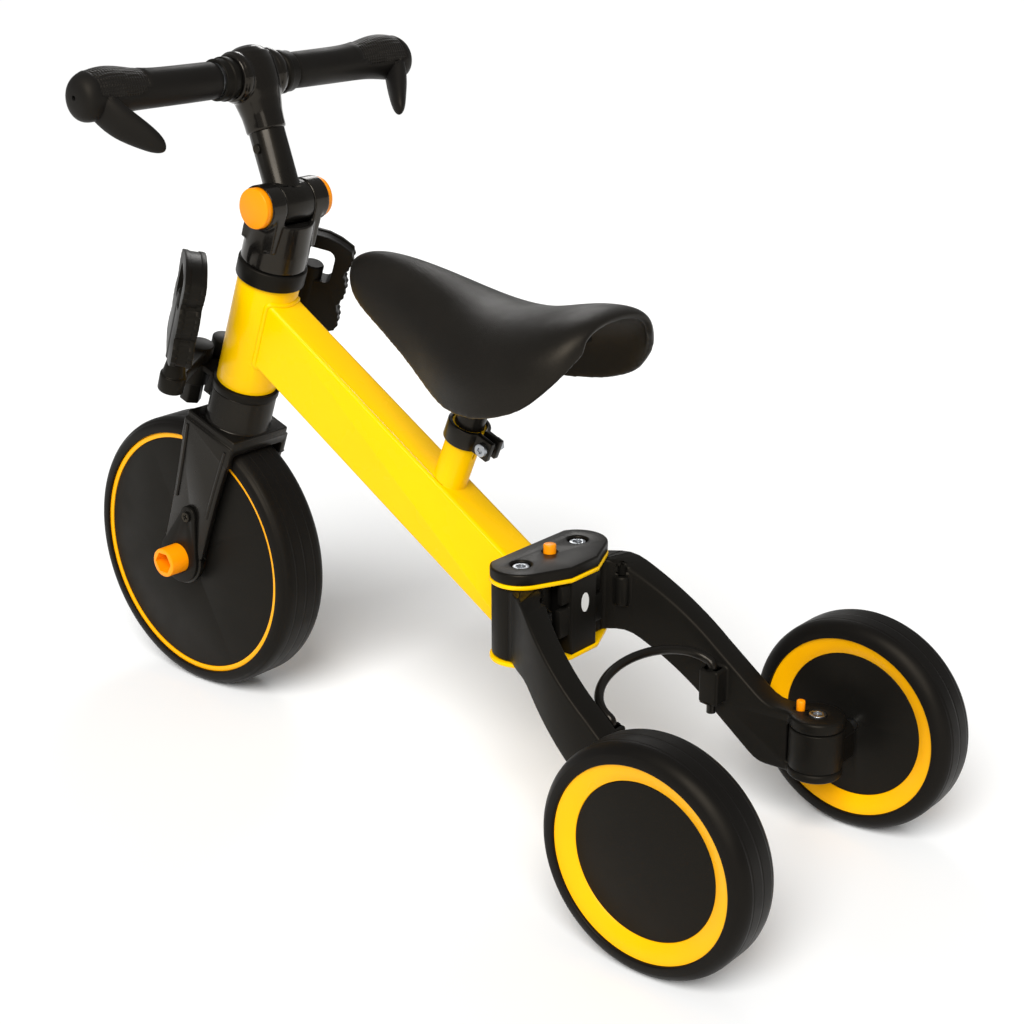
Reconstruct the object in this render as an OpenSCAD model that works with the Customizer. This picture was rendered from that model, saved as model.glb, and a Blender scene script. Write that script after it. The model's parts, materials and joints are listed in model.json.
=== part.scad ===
// Folding three-wheeled child's ride-on: a welded frame, a fork with a driven front wheel, a tilting
// handlebar, two rear arms that fold in, and a pair of cranks and pedals stowed beside the head.
// Millimetres. +X is forward, +Y is the rider's left, +Z is up. The origin lies on the ground under
// the middle of the overall length. x values below are measured from the rear axle, and the head's
// own frame has its origin at the bottom of the head tube with +Z along the steering axis.

/* [Wheels] */
// Distance from the rear axle to the front axle
wheelbase = 477; // [440:1:520]
// Outer radius of the front tyre
front_wheel_r = 100; // [90:0.5:110]
// Width of the front tyre
front_tyre_w = 41; // [34:0.5:42]
// Outer radius of the coloured band on the front wheel
front_band_r = 89.3; // [70:0.1:91]
// Width of the coloured band on the front wheel
front_band_w = 3.7; // [2:0.1:8]
// Outer radius of a rear tyre
rear_wheel_r = 68.7; // [62:0.1:74]
// Width of a rear tyre
rear_tyre_w = 34.6; // [28:0.1:38]
// Distance between the middles of the rear tyres
rear_track = 217.4; // [210:0.1:236]
// Outer radius of the coloured rear rim
rear_rim_r = 57.8; // [50:0.1:60]
// Inner radius of the coloured rear rim
rear_rim_bore_r = 46.4; // [35:0.1:49]
// Diameter of a rear axle
rear_axle_d = 8; // [6:0.1:9]

/* [Head and fork] */
// Angle that the steering axis leans back
head_lean = 20; // [16:0.5:24]
// Distance along the steering axis from the front axle to the bottom of the head tube
fork_len = 142.5; // [138:0.5:150]
// Length of the head tube
head_tube_len = 81; // [70:1:90]
// Outer diameter of the head tube
head_tube_d = 42; // [40:0.5:44]
// Diameter of the bushes that line the head tube
bush_d = 37; // [34:0.5:38]
// Diameter of the steerer tube
steerer_d = 25.4; // [22:0.1:28]
// Diameter of the collars above and below the head tube
collar_d = 46.4; // [44:0.1:48]
// Thickness of the fork crown above the tyre
crown_h = 9; // [7:0.5:10]
// Gap between the tyre and the fork
tyre_gap = 2; // [1.5:0.1:4]
// Thickness of a fork leg
leg_t = 5; // [4:0.5:7]
// Width of a fork leg, seen from the side
leg_w = 40; // [34:0.5:44]
// Outer diameter of a drive socket
socket_d = 21; // [20:0.1:23]
// Distance from the wheel's middle plane to the end of a drive socket
socket_reach = 44; // [41:0.5:50]
// Width across the corners of a crank's drive stub
stub_d = 15.5; // [13:0.1:16]

/* [Cranks and pedals] */
// Distance between a crank's drive stub and its pedal spindle
crank_len = 51; // [50:0.5:54]
// Half the distance between the two stowed cranks' stubs
stow_y = 11; // [10.8:0.1:12]
// Distance of the stowed stubs ahead of the steering axis
stow_x = 38; // [37:0.5:42]
// Length of a pedal
pedal_len = 74; // [60:1:78]
// Width of a pedal
pedal_w = 51; // [44:1:52]
// Thickness of a pedal
pedal_t = 14; // [12:0.5:16]
// Diameter of a pedal spindle
spindle_d = 8; // [6:0.1:9]

/* [Main tube] */
// Width of the main tube
tube_w = 28; // [24:0.5:32]
// Height of the main tube
tube_h = 47; // [42:0.5:50]
// Wall of the main tube
tube_wall = 2; // [1.5:0.1:3]
// Corner radius of the main tube
tube_r = 3; // [2.5:0.1:5]
// Angle of the main tube above the horizontal
tube_lean = 32; // [31:0.1:33]
// Height of the joint between the main tube and the head tube, along the head tube
tube_join = 50.6; // [49:0.1:52]

/* [Seat] */
// Distance of the seat tube's foot ahead of the rear axle
seat_tube_x = 242.3; // [230:0.1:250]
// Angle that the seat tube leans back
seat_lean = 22.7; // [18:0.1:26]
// Length of the seat tube above the main tube
seat_tube_len = 44; // [40:0.5:50]
// Diameter of the seat post
seat_post_d = 19; // [17:0.1:20]
// Wall of the seat tube
seat_tube_wall = 1.7; // [1.5:0.1:2]
// Travel of the seat post
seat_travel = 30; // [20:1:30]
// Thickness of the saddle's padded cover
saddle_t = 11; // [8:0.5:12]

/* [Handlebar] */
// Distance from the head tube's bottom to the tilt hinge
hinge_up = 136.1; // [134:0.1:140]
// Angle that the riser leans forward
riser_lean = 19.4; // [15:0.1:24]
// Distance from the tilt hinge to the handlebar
riser_len = 83.6; // [80:0.1:90]
// Diameter of the riser
riser_d = 23.4; // [22:0.1:24]
// Radius of the hinge barrel
barrel_r = 14.6; // [14:0.1:16]
// Half the width of the hinge barrel
barrel_half = 25.5; // [25:0.1:29]
// Half the width of the riser's knuckle
knuckle_half = 12; // [10:0.1:14]
// Radius of a hinge button
hinge_button_r = 13.2; // [12:0.1:13.2]
// Diameter of the handlebar tube
bar_d = 22.2; // [20:0.1:23]
// Distance from the middle to the end of a grip
bar_half = 142; // [135:0.5:150]
// Outer diameter of a grip's sleeve
grip_d = 24.2; // [24:0.1:27]

/* [Rear housing] */
// Distance of the arm pivots ahead of the rear axle
pivot_x = 161; // [158:0.1:164]
// Half the distance between the arm pivots
pivot_y = 27.7; // [27:0.1:29]
// Outer radius of the housing's round ends
housing_r = 19.3; // [18.9:0.1:20]
// Radius of an arm's knuckle
knuckle_r = 18; // [17:0.1:18.2]
// Height of the bottom plate above the ground
plate_z = 112.5; // [110:0.1:114]
// Thickness of the two frame plates
plate_t = 2.5; // [2:0.1:3]
// Clear height between the two frame plates
housing_h = 48; // [46:0.1:49]
// Thickness of the housing's cap
cap_t = 7.3; // [6:0.1:9]
// Diameter of an arm's pivot bolt
pivot_d = 8; // [6:0.1:9]

/* [Rear arms] */
// Distance from the middle plane to a wheel bracket's swivel axis
swivel_y = 70; // [69:0.1:71]
// Distance of the swivel axis ahead of the rear axle
swivel_x = 8; // [7:0.1:9]
// Thickness of a rear arm
arm_t = 17.5; // [16:0.1:18]
// Height of the top of a rear arm at the wheel
arm_low_z = 84; // [82:0.1:86]
// Height of a rear arm at the wheel
arm_low_h = 40; // [38:0.1:41]
// Radius of a wheel bracket's barrel
bracket_r = 16.8; // [16:0.1:17]
// Diameter of a lock or latch button
button_d = 8; // [6:0.1:9]
// Diameter of the latch button on each wheel bracket
latch_d = 5.4; // [4:0.1:7]
// Travel of a lock or latch button
button_travel = 3; // [2:0.1:3.4]
// Diameter of the brace wire
wire_d = 5.8; // [4:0.1:6]

/* [Hidden] */

$fn = 96;
HULL_FN = 32;
slip = 0.05;          // radial running clearance of a pin or shaft
gap = 0.3;            // clearance between parts that move past each other
yellow = "#FFDD00";
orange = "#FFAA10";
black = "#262522";
rubber = "#1E1D1B";
steel = "#B9BCC0";

rear_axle_x = -(wheelbase + front_wheel_r - rear_wheel_r) / 2;
head_x = wheelbase - fork_len * sin(head_lean);
head_z = front_wheel_r + fork_len * cos(head_lean);
steerer_r = steerer_d / 2;
collar_t = 6;                                    // height of the collar under the head tube
cup_t = 12;                                      // height of the cup on top of the head tube
bush_len = 12;
bush_flange = 3;
crown_top = -(fork_len - front_wheel_r - tyre_gap) + crown_h;
leg_in = front_tyre_w / 2 + tyre_gap;            // inner face of a fork leg, from the middle plane
leg_out = leg_in + leg_t;
cover_t = 2.4;
cover_screw_up = 36;                             // distance of a cover's screw above the axle
hub_bore_r = socket_d / 2 + gap;
hex_room = 0.5;                                  // clearance across the corners of a hexagonal socket
crank_t = 12;                                    // thickness of a crank at its eyes
eye_r = 9;
crank_up = -1.6;                                 // underside of a stowed crank, along the steering axis
crank_out = 62;                                  // angle of a stowed crank from straight back
holder_len = 17;
stub_len = 33;
holder_wall = 2;
barrel_len = 50;                                 // length of a pedal's barrel
neck_len = 13;                                   // gap between a crank and its pedal
spindle_r = spindle_d / 2;
pedal_turn = 38;                                 // turn of a stowed pedal about its spindle

tube_top_rise = (tube_h / 2) / cos(tube_lean);
join_x = head_x - tube_join * sin(head_lean);
join_z = head_z + tube_join * cos(head_lean);
top_plate_z = plate_z + plate_t + housing_h;
cap_z = top_plate_z + plate_t;
housing_back = 28;                               // flat back of the housing behind the pivots
housing_back_half = 13;
housing_front = 17.8;                            // front edge of the housing ahead of the pivots

function tube_mid_z(x) = join_z - (join_x - x) * tan(tube_lean);
seat_foot_z = tube_mid_z(seat_tube_x) + tube_top_rise - 2;
seat_bore_r = seat_post_d / 2 + slip;
seat_tube_r = seat_bore_r + seat_tube_wall;
post_below = 20;
post_len = 84;
slot_len = 20;
clamp_h = 13;
clamp_wall = 2.6;
ear_len = 13;
ear_t = 4;
ear_gap = 4;
clamp_bolt_r = 2.5;

hinge_x = head_x - hinge_up * sin(head_lean);
hinge_z = head_z + hinge_up * cos(head_lean);
pin_r = 4;
pin_half = 20;
button_out = 4;                                  // how far a hinge button stands out
hinge_travel = 3;
recess_depth = 5.5;
riser_screw_up = 36.8;
head_bottom = 47;
head_r = 17.7;
collar_w = 13;
sleeve_start = head_r + 14.2;

bolt_head_r = 5.2;
bolt_head_t = 3;
arm_bend_x = 110;                                // where an arm turns straight back
arm_bend_y = 66.5;
arm_drop_from = 144;                             // where an arm's top starts to come down
arm_drop_to = 32;
arm_root_z = plate_z + plate_t + gap;
arm_root_top = top_plate_z - gap;
arm_low_bottom = arm_low_z - arm_low_h;
lug_r = 17;
lug_t = 7.8;
slot_top = arm_low_z - lug_t;
slot_bottom = arm_low_bottom + 6;
latch_x = 12;                                    // latch button ahead of the swivel axis
stop_x = 134;                                    // boss on an arm's inner face
stop_y = 38.6;
block_x = 73;
block_half = 7;
block_top = 102;
block_bottom = 79;
block_in = 46.5;                                 // inner face of a wire block
wire_y = 51.5;
wire_bend_z = 102.5;                               // where a leg of the wire starts to bend forward
wire_bend_r = 4;
wire_bow_x = 25;                                 // how far the wire's middle bows forward
wheel_y = rear_track / 2;
wheel_in = wheel_y - rear_tyre_w / 2;
rim_face = 15.4;                                 // outer edge of a rear rim, from its middle plane
rim_dip = 4.7;                                   // depth of a rear hub disc below the rim's edge

module on_axle() translate([rear_axle_x, 0, 0]) children();
module on_head() on_axle() translate([head_x, 0, head_z]) rotate([0, -head_lean, 0]) children();
module on_hinge() on_axle() translate([hinge_x, 0, hinge_z]) rotate([0, riser_lean, 0]) children();
module on_seat() on_axle() translate([seat_tube_x, 0, seat_foot_z]) rotate([0, -seat_lean, 0]) children();
module on_front_axle() on_axle() translate([wheelbase, 0, front_wheel_r]) children();
module mirrored(is_right) { if (is_right) mirror([0, 1, 0]) children(); else children(); }
module both() { children(); mirror([0, 1, 0]) children(); }
module along_y(r, from, to) translate([0, from, 0]) rotate([-90, 0, 0]) cylinder(h = to - from, r = r);

// A rectangle with round corners, centred
module soft_rect(w, h, r) {
  square([w - 2 * r, h], center = true);
  square([w, h - 2 * r], center = true);
  for (x = [-1, 1], y = [-1, 1]) translate([x * (w / 2 - r), y * (h / 2 - r)]) circle(r);
}

// A hexagonal socket or stub along Z, with its corners on a circle
module hexagon(d, h) cylinder(h = h, d = d, $fn = 6);

/* ---- frame ---- */

// Point where the line from p touches a circle of radius r about c
function touch(p, c, r) = let(d = norm(c - p), a = atan2(c[1] - p[1], c[0] - p[0]) + asin(r / d),
  l = sqrt(d * d - r * r)) [p[0] + l * cos(a), p[1] + l * sin(a)];

// The outline shared by the plates and the cap: two round ends about the pivots and a flat back
ARC_STEPS = 36;
module housing_outline(r, back, half) {
  t = touch([-back, half], [0, pivot_y], r);
  a0 = acos((housing_front - 0.3) / r);
  a1 = atan2(t[1] - pivot_y, t[0]);
  side = [for (i = [0 : ARC_STEPS]) let(a = lerp(a0, a1, i / ARC_STEPS))
    [r * cos(a), pivot_y + r * sin(a)]];
  left = concat(side, [[-back, half]]);
  polygon(concat(left, [for (i = [len(left) - 1 : -1 : 0]) [left[i][0], -left[i][1]]]));
}

module at_pivots() on_axle() translate([pivot_x, 0, 0]) children();

module frame_plate(z) at_pivots() translate([0, 0, z]) linear_extrude(plate_t)
  housing_outline(housing_r, housing_back, housing_back_half);

// The main tube, from far behind the housing to the middle of the head tube
module tube_bar(w, h, r, from, to) on_axle() translate([join_x, 0, join_z]) rotate([0, -tube_lean, 0])
  translate([from, 0, 0]) rotate([90, 0, 90]) linear_extrude(to - from) soft_rect(w, h, r);

module main_frame() color(yellow) {
  tube_back = -(join_x - pivot_x - housing_front) / cos(tube_lean);
  difference() {
    union() {
      on_head() cylinder(h = head_tube_len, d = head_tube_d);
      difference() {
        tube_bar(tube_w, tube_h, tube_r, tube_back - tube_h / 2, 0);
        at_pivots() translate([-100 + housing_front - 0.5, -50, 0]) cube([100, 100, 300]);
        at_pivots() translate([0, -50, plate_z - 50]) cube([40, 100, 50]);
      }
      on_seat() translate([0, 0, -6]) cylinder(h = seat_tube_len + 6, r = seat_tube_r);
      frame_plate(plate_z);
      frame_plate(top_plate_z);
    }
    on_head() translate([0, 0, -1]) cylinder(h = head_tube_len + 2, d = bush_d);
    tube_bar(tube_w - 2 * tube_wall, tube_h - 2 * tube_wall, tube_r - tube_wall + 0.5,
      tube_back + tube_h / 2, -head_tube_d / 2);
    on_seat() translate([0, 0, -16]) cylinder(h = seat_tube_len + 20, r = seat_bore_r);
    on_seat() translate([-seat_tube_r - 2, -0.9, seat_tube_len - slot_len])
      cube([seat_tube_r + 2, 1.8, slot_len + 1]);
    at_pivots() both() translate([0, pivot_y, plate_z - 1])
      cylinder(h = housing_h + 2 * plate_t + 2, d = pivot_d + 2 * slip);
    at_pivots() translate([0, 0, top_plate_z - 1]) cylinder(h = plate_t + 2, d = button_d + 2 * gap);
  }
}

module head_bushes() color("#D8D4C8") on_head() for (z = [0, head_tube_len - bush_len]) difference() {
  translate([0, 0, z]) cylinder(h = bush_len, r = bush_d / 2 - 0.02);
  translate([0, 0, z - 1]) cylinder(h = bush_len + 2, r = steerer_r + slip);
}

module headset_cup() color(black) on_head() difference() {
  translate([0, 0, head_tube_len]) cylinder(h = cup_t, d = collar_d);
  translate([0, 0, head_tube_len - 1]) cylinder(h = cup_t + 2, r = steerer_r + 2);
}

/* ---- seat ---- */

module seat_clamp() color(black) on_seat() {
  r_in = seat_tube_r + slip;
  z0 = seat_tube_len - clamp_h + 1;
  difference() {
    union() {
      translate([0, 0, z0]) cylinder(h = clamp_h, r = r_in + clamp_wall);
      for (s = [-1, 1]) translate([-r_in - ear_len, s * (ear_gap + ear_t) / 2 - ear_t / 2, z0])
        cube([ear_len, ear_t, clamp_h]);
    }
    translate([0, 0, z0 - 1]) cylinder(h = clamp_h + 2, r = r_in);
    translate([-r_in - ear_len - 1, -ear_gap / 2, z0 - 1]) cube([ear_len + 5, ear_gap, clamp_h + 2]);
    translate([-r_in - ear_len * 0.62, 0, z0 + clamp_h / 2]) along_y(clamp_bolt_r + slip, -20, 20);
  }
}

module at_clamp_bolt() on_seat() translate([-(seat_tube_r + slip) - ear_len * 0.62, 0,
  seat_tube_len - clamp_h / 2 + 1]) children();

module clamp_bolt() color(steel) at_clamp_bolt() {
  half = ear_gap / 2 + ear_t;
  along_y(clamp_bolt_r, -half - 5, half + 0.1);
  difference() {
    along_y(4.2, half, half + 3);
    translate([0, half + 1.5, 0]) rotate([-90, 30, 0]) hexagon(4, 3);
  }
}

module clamp_nut() color(steel) at_clamp_bolt() {
  half = ear_gap / 2 + ear_t;
  difference() {
    translate([0, -half - 4, 0]) rotate([-90, 0, 0]) hexagon(9, 4);
    along_y(clamp_bolt_r + slip, -half - 6, 0);
  }
}

module seat_post() color(black) on_seat() difference() {
  translate([0, 0, -post_below]) cylinder(h = post_len + post_below, d = seat_post_d);
  translate([0, 0, -post_below - 1]) cylinder(h = post_len + post_below - 3, d = seat_post_d - 3);
}

// The saddle's outline: distance from the rear axle, half width, height of the top, height of the rim
saddle_tail_x = 104;
saddle_len = 219;
SADDLE = [[0, 14, 322, 315], [0.03, 36, 327, 306], [0.1, 51, 329, 292], [0.19, 59.5, 327, 277],
  [0.28, 60, 325.5, 269], [0.38, 53, 326.5, 267], [0.49, 43, 330.5, 270], [0.62, 35, 335.5, 276],
  [0.76, 28.5, 340, 286], [0.9, 22, 341.5, 301], [0.98, 12, 335, 315], [1, 5, 329, 322]];
saddle_top_min = 322;
SADDLE_STEPS = 18;

// One cross-section of the saddle, from the left rim over the top to the right rim
function saddle_ring(s, inset) = let(w = max(s[1] - inset, 1.2), top = s[2] - inset,
  rim = min(s[3], top - 1.5), x = saddle_tail_x + inset + s[0] * (saddle_len - 2 * inset))
  [for (i = [0 : SADDLE_STEPS]) let(a = 180 * i / SADDLE_STEPS)
    [x, w * sign(cos(a)) * pow(abs(cos(a)), 0.9), rim + (top - rim) * pow(sin(a), 0.75)]];

module saddle_solid(inset, drop) {
  rings = [for (s = SADDLE) saddle_ring(s, inset)];
  n = SADDLE_STEPS + 1;
  last = len(rings) - 1;
  points = [for (r = rings, p = r) [p[0], p[1], p[2] - drop * (p[2] < r[0][2] + 0.01 ? 1 : 0)]];
  sides = [for (k = [0 : last - 1], i = [0 : n - 1]) let(j = (i + 1) % n)
    each [[k * n + i, (k + 1) * n + i, k * n + j], [k * n + j, (k + 1) * n + i, (k + 1) * n + j]]];
  back = [for (i = [1 : n - 2]) [0, i, i + 1]];
  front = [for (i = [1 : n - 2]) [last * n, last * n + i + 1, last * n + i]];
  on_axle() polyhedron(points, concat(sides, back, front));
}

module saddle_cover() color(rubber) difference() {
  saddle_solid(0, 0);
  saddle_solid(saddle_t, 30);
}

base_z = 303;
base_t = 5;
module saddle_base() color(black) {
  on_axle() difference() {
    translate([0, 0, base_z]) linear_extrude(base_t)
      polygon([[135, -22], [135, 22], [190, 27], [246, 13], [264, 8], [264, -8], [246, -13], [190, -27]]);
    for (x = [150, 250]) translate([x, 0, base_z - 1]) cylinder(h = base_t + 2, r = 2.6);
  }
  on_seat() difference() {
    translate([0, 0, 60]) cylinder(h = 50, r = seat_post_d / 2 + 3);
    translate([0, 0, 50]) cylinder(h = post_len - 50, r = seat_post_d / 2 + slip);
    translate([0, 0, -10]) rotate([0, seat_lean, 0]) translate([-60, -30, base_z - seat_foot_z + 14])
      cube([120, 60, 60]);
  }
}

module saddle_screws() color(steel) on_axle() for (x = [150, 250]) translate([x, 0, base_z - 2.5]) {
  cylinder(h = 10, r = 2.5);
  cylinder(h = 2.5, r = 4.5);
}

/* ---- steering ---- */

module steerer_tube() color(steel) on_head() difference() {
  translate([0, 0, crown_top + 1]) cylinder(h = hinge_up - crown_top - 32, r = steerer_r);
  translate([0, 0, crown_top]) cylinder(h = hinge_up - crown_top - 30, r = steerer_r - 2);
}

// A fork leg seen from the side: wide at the crown, waisted, with a round end about the axle
module leg_plate(t) rotate([90, 0, 0]) linear_extrude(t) {
  top = fork_len + crown_top - crown_h + 1;
  r = leg_w / 2;
  circle(r);
  front = [for (i = [0 : 10]) let(u = i / 10) [lerp(r - 1, r + 4, u * u), lerp(8, top, u)]];
  polygon(concat(front, [for (i = [10 : -1 : 0]) [-front[i][0], front[i][1]]]));
}

module in_fork() on_head() translate([0, 0, -fork_len]) children();

module fork() color(black) {
  top = fork_len + crown_top;
  in_fork() difference() {
    union() {
      translate([0, 0, top - 2]) cylinder(h = fork_len - collar_t - top + 2, d = collar_d - 1.6);
      translate([-leg_w / 2 - 4, -leg_out + 2, top - crown_h]) cube([leg_w + 8, 2 * leg_out - 4, crown_h]);
      translate([-leg_w / 2 - 4, -leg_out, top - crown_h - 12]) cube([leg_w + 8, 2 * leg_out, 16]);
      for (s = [-1, 1]) translate([0, s > 0 ? leg_out : -leg_in, 0]) leg_plate(leg_t);
    }
    translate([0, -leg_in, 0]) rotate([-90, 0, 0]) cylinder(h = 2 * leg_in, r = front_wheel_r + tyre_gap);
    translate([0, 0, top - crown_h]) cylinder(h = fork_len - top + crown_h, r = steerer_r + slip);
    along_y(hub_bore_r, -leg_out - 1, leg_out + 1);
    both() translate([0, leg_in - 1, cover_screw_up]) rotate([-90, 0, 0]) cylinder(h = leg_t + 4, r = 1.6);
  }
}

// The ring under the head tube, with the two sockets that carry the stowed cranks
module pedal_holder() color(black) on_head() difference() {
  union() {
    translate([0, 0, -collar_t]) cylinder(h = collar_t - gap, d = collar_d);
    both() translate([stow_x, stow_y, crank_up - holder_len]) cylinder(h = holder_len, r = stub_d / 2 + holder_wall);
    translate([collar_d / 2 - 4, -stow_y - 3, -collar_t]) cube([stow_x - collar_d / 2 + 2, 2 * stow_y + 6, 4.4]);
    translate([collar_d / 2 + 1, -2, crank_up - holder_len + 3])
      cube([stow_x - collar_d / 2, 4, holder_len - 4]);
  }
  translate([0, 0, -collar_t - 1]) cylinder(h = collar_t + 2, r = steerer_r + slip);
  both() translate([stow_x, stow_y, -50]) hexagon(stub_d + hex_room, 60);
}

module hub_cover(is_right) color(black) in_fork() mirrored(is_right) difference() {
  translate([0, leg_out + cover_t + 0.02, 0]) rotate([90, 0, 0]) linear_extrude(cover_t) {
    circle(leg_w / 2 - 1.5);
    t = touch([0, cover_screw_up], [0, 0], leg_w / 2 - 1.5);
    translate([0, cover_screw_up]) circle(7.5);
    polygon([t, [7.5, cover_screw_up], [-7.5, cover_screw_up], [-t[0], t[1]], [0, 0]]);
  }
  along_y(hub_bore_r, 0, leg_out + 10);
  translate([0, 0, cover_screw_up]) along_y(2, 0, leg_out + 10);
}
module hub_cover_left() hub_cover(false);
module hub_cover_right() hub_cover(true);

module cover_screws() color(steel) in_fork() both() translate([0, 0, cover_screw_up]) {
  along_y(1.5, leg_in + 0.5, leg_out + cover_t);
  difference() {
    along_y(3.6, leg_out + cover_t + 0.05, leg_out + cover_t + 1.8);
    for (a = [0, 90]) translate([0, leg_out + cover_t + 1.4, 0]) rotate([0, a, 0]) cube([4.4, 1.6, 0.9], center = true);
  }
}

/* ---- handlebar ---- */

module stem_base() color(black) on_head() difference() {
  neck_z = head_tube_len + cup_t + gap;
  union() {
    translate([0, 0, neck_z]) cylinder(h = 13, d = collar_d - 2.4);
    translate([0, 0, neck_z + 13]) cylinder(h = hinge_up - 8.4 - neck_z - 13, r1 = collar_d / 2 - 1.2, r2 = 20.4);
    both() translate([0, 0, hinge_up]) along_y(barrel_r, knuckle_half + gap, barrel_half);
    both() translate([-barrel_r, knuckle_half + gap, hinge_up - 28])
      cube([2 * barrel_r, 8, 28]);
  }
  translate([0, 0, neck_z - 1]) cylinder(h = hinge_up - 31 - neck_z + 1.1, r = steerer_r + slip);
  translate([0, 0, hinge_up]) {
    along_y(barrel_r + 0.8, -knuckle_half - gap, knuckle_half + gap);
    along_y(pin_r + slip, -barrel_half - 1, barrel_half + 1);
    both() along_y(hinge_button_r + gap, barrel_half - recess_depth, barrel_half + 1);
  }
}

module hinge_pin() color(steel) on_head() translate([0, 0, hinge_up])
  along_y(pin_r, -pin_half + 0.2, pin_half - 0.2);

module hinge_button(is_right) color(orange) on_head() translate([0, 0, hinge_up]) mirrored(is_right)
  along_y(hinge_button_r, barrel_half - recess_depth + hinge_travel + 0.4, barrel_half + button_out);
module hinge_button_left() hinge_button(false);
module hinge_button_right() hinge_button(true);

module riser() color(black) on_hinge() difference() {
  union() {
    along_y(barrel_r - 0.5, -knuckle_half, knuckle_half);
    cylinder(h = 60, d = riser_d);
  }
  along_y(pin_r + slip, -20, 20);
  translate([0, 0, riser_screw_up]) along_y(1.8, -20, 20);
}

module riser_screws() color(steel) on_hinge() both() translate([0, 0, riser_screw_up]) {
  along_y(1.7, 4, riser_d / 2);
  along_y(3, riser_d / 2, riser_d / 2 + 1.6);
}

// The head is turned about the riser: a waist over the riser that swells to a globe about the bar
module stem_head() color(black) on_hinge() difference() {
  union() {
    rotate_extrude() polygon(concat([[0, head_bottom], [riser_d / 2 + 1.4, head_bottom]],
      [for (i = [0 : 8]) let(t = i / 8) [lerp(riser_d / 2 + 1.6, head_r, t * t * (3 - 2 * t)),
        lerp(head_bottom + 5, riser_len - 4, t)]],
      [for (i = [1 : 12]) let(a = 90 * i / 12) [head_r * cos(a), riser_len - 4 + 22 * sin(a)]]));
    translate([0, 0, riser_len]) along_y(bar_d / 2 + 4, -head_r - 1.5, head_r + 1.5);
  }
  translate([0, 0, head_bottom - 1]) cylinder(h = 60.4 - head_bottom + 1, d = riser_d + 2 * slip);
  translate([0, 0, riser_len]) along_y(bar_d / 2 + slip, -40, 40);
}
function lerp(a, b, t) = a + (b - a) * t;

module handlebar_tube() color(steel) on_hinge() translate([0, 0, riser_len]) difference() {
  along_y(bar_d / 2, -bar_half + 6, bar_half - 6);
  along_y(bar_d / 2 - 1.6, -bar_half, bar_half);
}

module grip_collar(is_right) color(black) on_hinge() translate([0, 0, riser_len]) mirrored(is_right)
  difference() {
    union() {
      along_y(grip_d / 2 + 1.2, head_r + 1.8, head_r + 1 + collar_w);
      along_y(grip_d / 2 + 2, head_r + 4, head_r + 8);
    }
    along_y(bar_d / 2 + slip, 0, 80);
  }
module grip_collar_left() grip_collar(false);
module grip_collar_right() grip_collar(true);

// A grip: a sleeve on the bar, a palm swell at its outer end and a finger hook that curls in and down
module grip(is_right) color(rubber) on_hinge() translate([0, 0, riser_len]) mirrored(is_right)
  difference() {
    union() {
      along_y(grip_d / 2, sleeve_start, bar_half - 12);
      hull() {
        for (p = [[0, 96, 0, 12.2], [-1, 116, 3.5, 14], [0, 126.5, 0.5, 15.5]])
          translate([p[0], p[1], p[2]]) sphere(p[3], $fn = HULL_FN);
      }
      hull() {
        translate([-4, 124, -9]) sphere(8.5, $fn = HULL_FN);
        translate([-11, 117, -22]) sphere(7.2, $fn = HULL_FN);
      }
      hull() {
        translate([-11, 117, -22]) sphere(7.2, $fn = HULL_FN);
        translate([-18, 108, -33]) sphere(5.6, $fn = HULL_FN);
      }
    }
    along_y(bar_d / 2 + slip, 0, bar_half - 5);
  }
module grip_left() grip(false);
module grip_right() grip(true);

/* ---- front wheel ---- */

// Half of a tyre's section, from its bore to its tread, with a rounded shoulder
module tyre_section(r, w, bore, shoulder) intersection() {
  union() {
    translate([bore, -w / 2]) square([r - bore - shoulder, w]);
    translate([bore, -w / 2 + shoulder]) square([r - bore, w - 2 * shoulder]);
    for (s = [-1, 1]) translate([r - shoulder, s * (w / 2 - shoulder)]) circle(shoulder);
  }
  translate([bore, -w]) square([r, 2 * w]);
}

module turned_on_y() rotate([90, 0, 0]) rotate_extrude($fn = 144) children();

front_bore = front_band_r;
module front_tyre() color(rubber) on_front_axle() turned_on_y() difference() {
  tyre_section(front_wheel_r, front_tyre_w, front_bore, 8.5);
  for (s = [-1, 1]) translate([front_wheel_r, s * 7]) circle(0.7, $fn = 16);
}

core_half = 18;
core_wall = 3;
vent_r = 1.5;                                    // hole that lets air out of the hollow core
module front_wheel_core() color(black) on_front_axle() turned_on_y() difference() {
  translate([vent_r, -core_half]) square([front_bore - vent_r - 0.02, 2 * core_half]);
  translate([0, -core_half + core_wall]) square([front_bore - core_wall - 1, 2 * (core_half - core_wall)]);
  for (s = [-1, 1]) translate([front_band_r - front_band_w, s * core_half - 1]) square([front_band_w + 1, 2]);
}

module front_bands() color(orange) on_front_axle() both() turned_on_y()
  translate([front_band_r - front_band_w + 0.02, core_half - 1 + 0.02])
    square([front_band_w - 0.06, 1.4]);

module drive_socket(is_right) color(orange) on_front_axle() mirrored(is_right) difference() {
  union() {
    along_y(socket_d / 2, core_half + 0.02, socket_reach);
    along_y(socket_d / 2 + 3, core_half + 0.02, core_half + 2.4);
  }
  translate([0, socket_reach - 20, 0]) rotate([-90, 0, 0]) hexagon(stub_d + hex_room, 30);
}
module drive_socket_left() drive_socket(false);
module drive_socket_right() drive_socket(true);

/* ---- cranks and pedals, stowed beside the head ---- */

spindle_x = stow_x - crank_len * cos(crank_out);
spindle_y = stow_y + crank_len * sin(crank_out);

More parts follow.
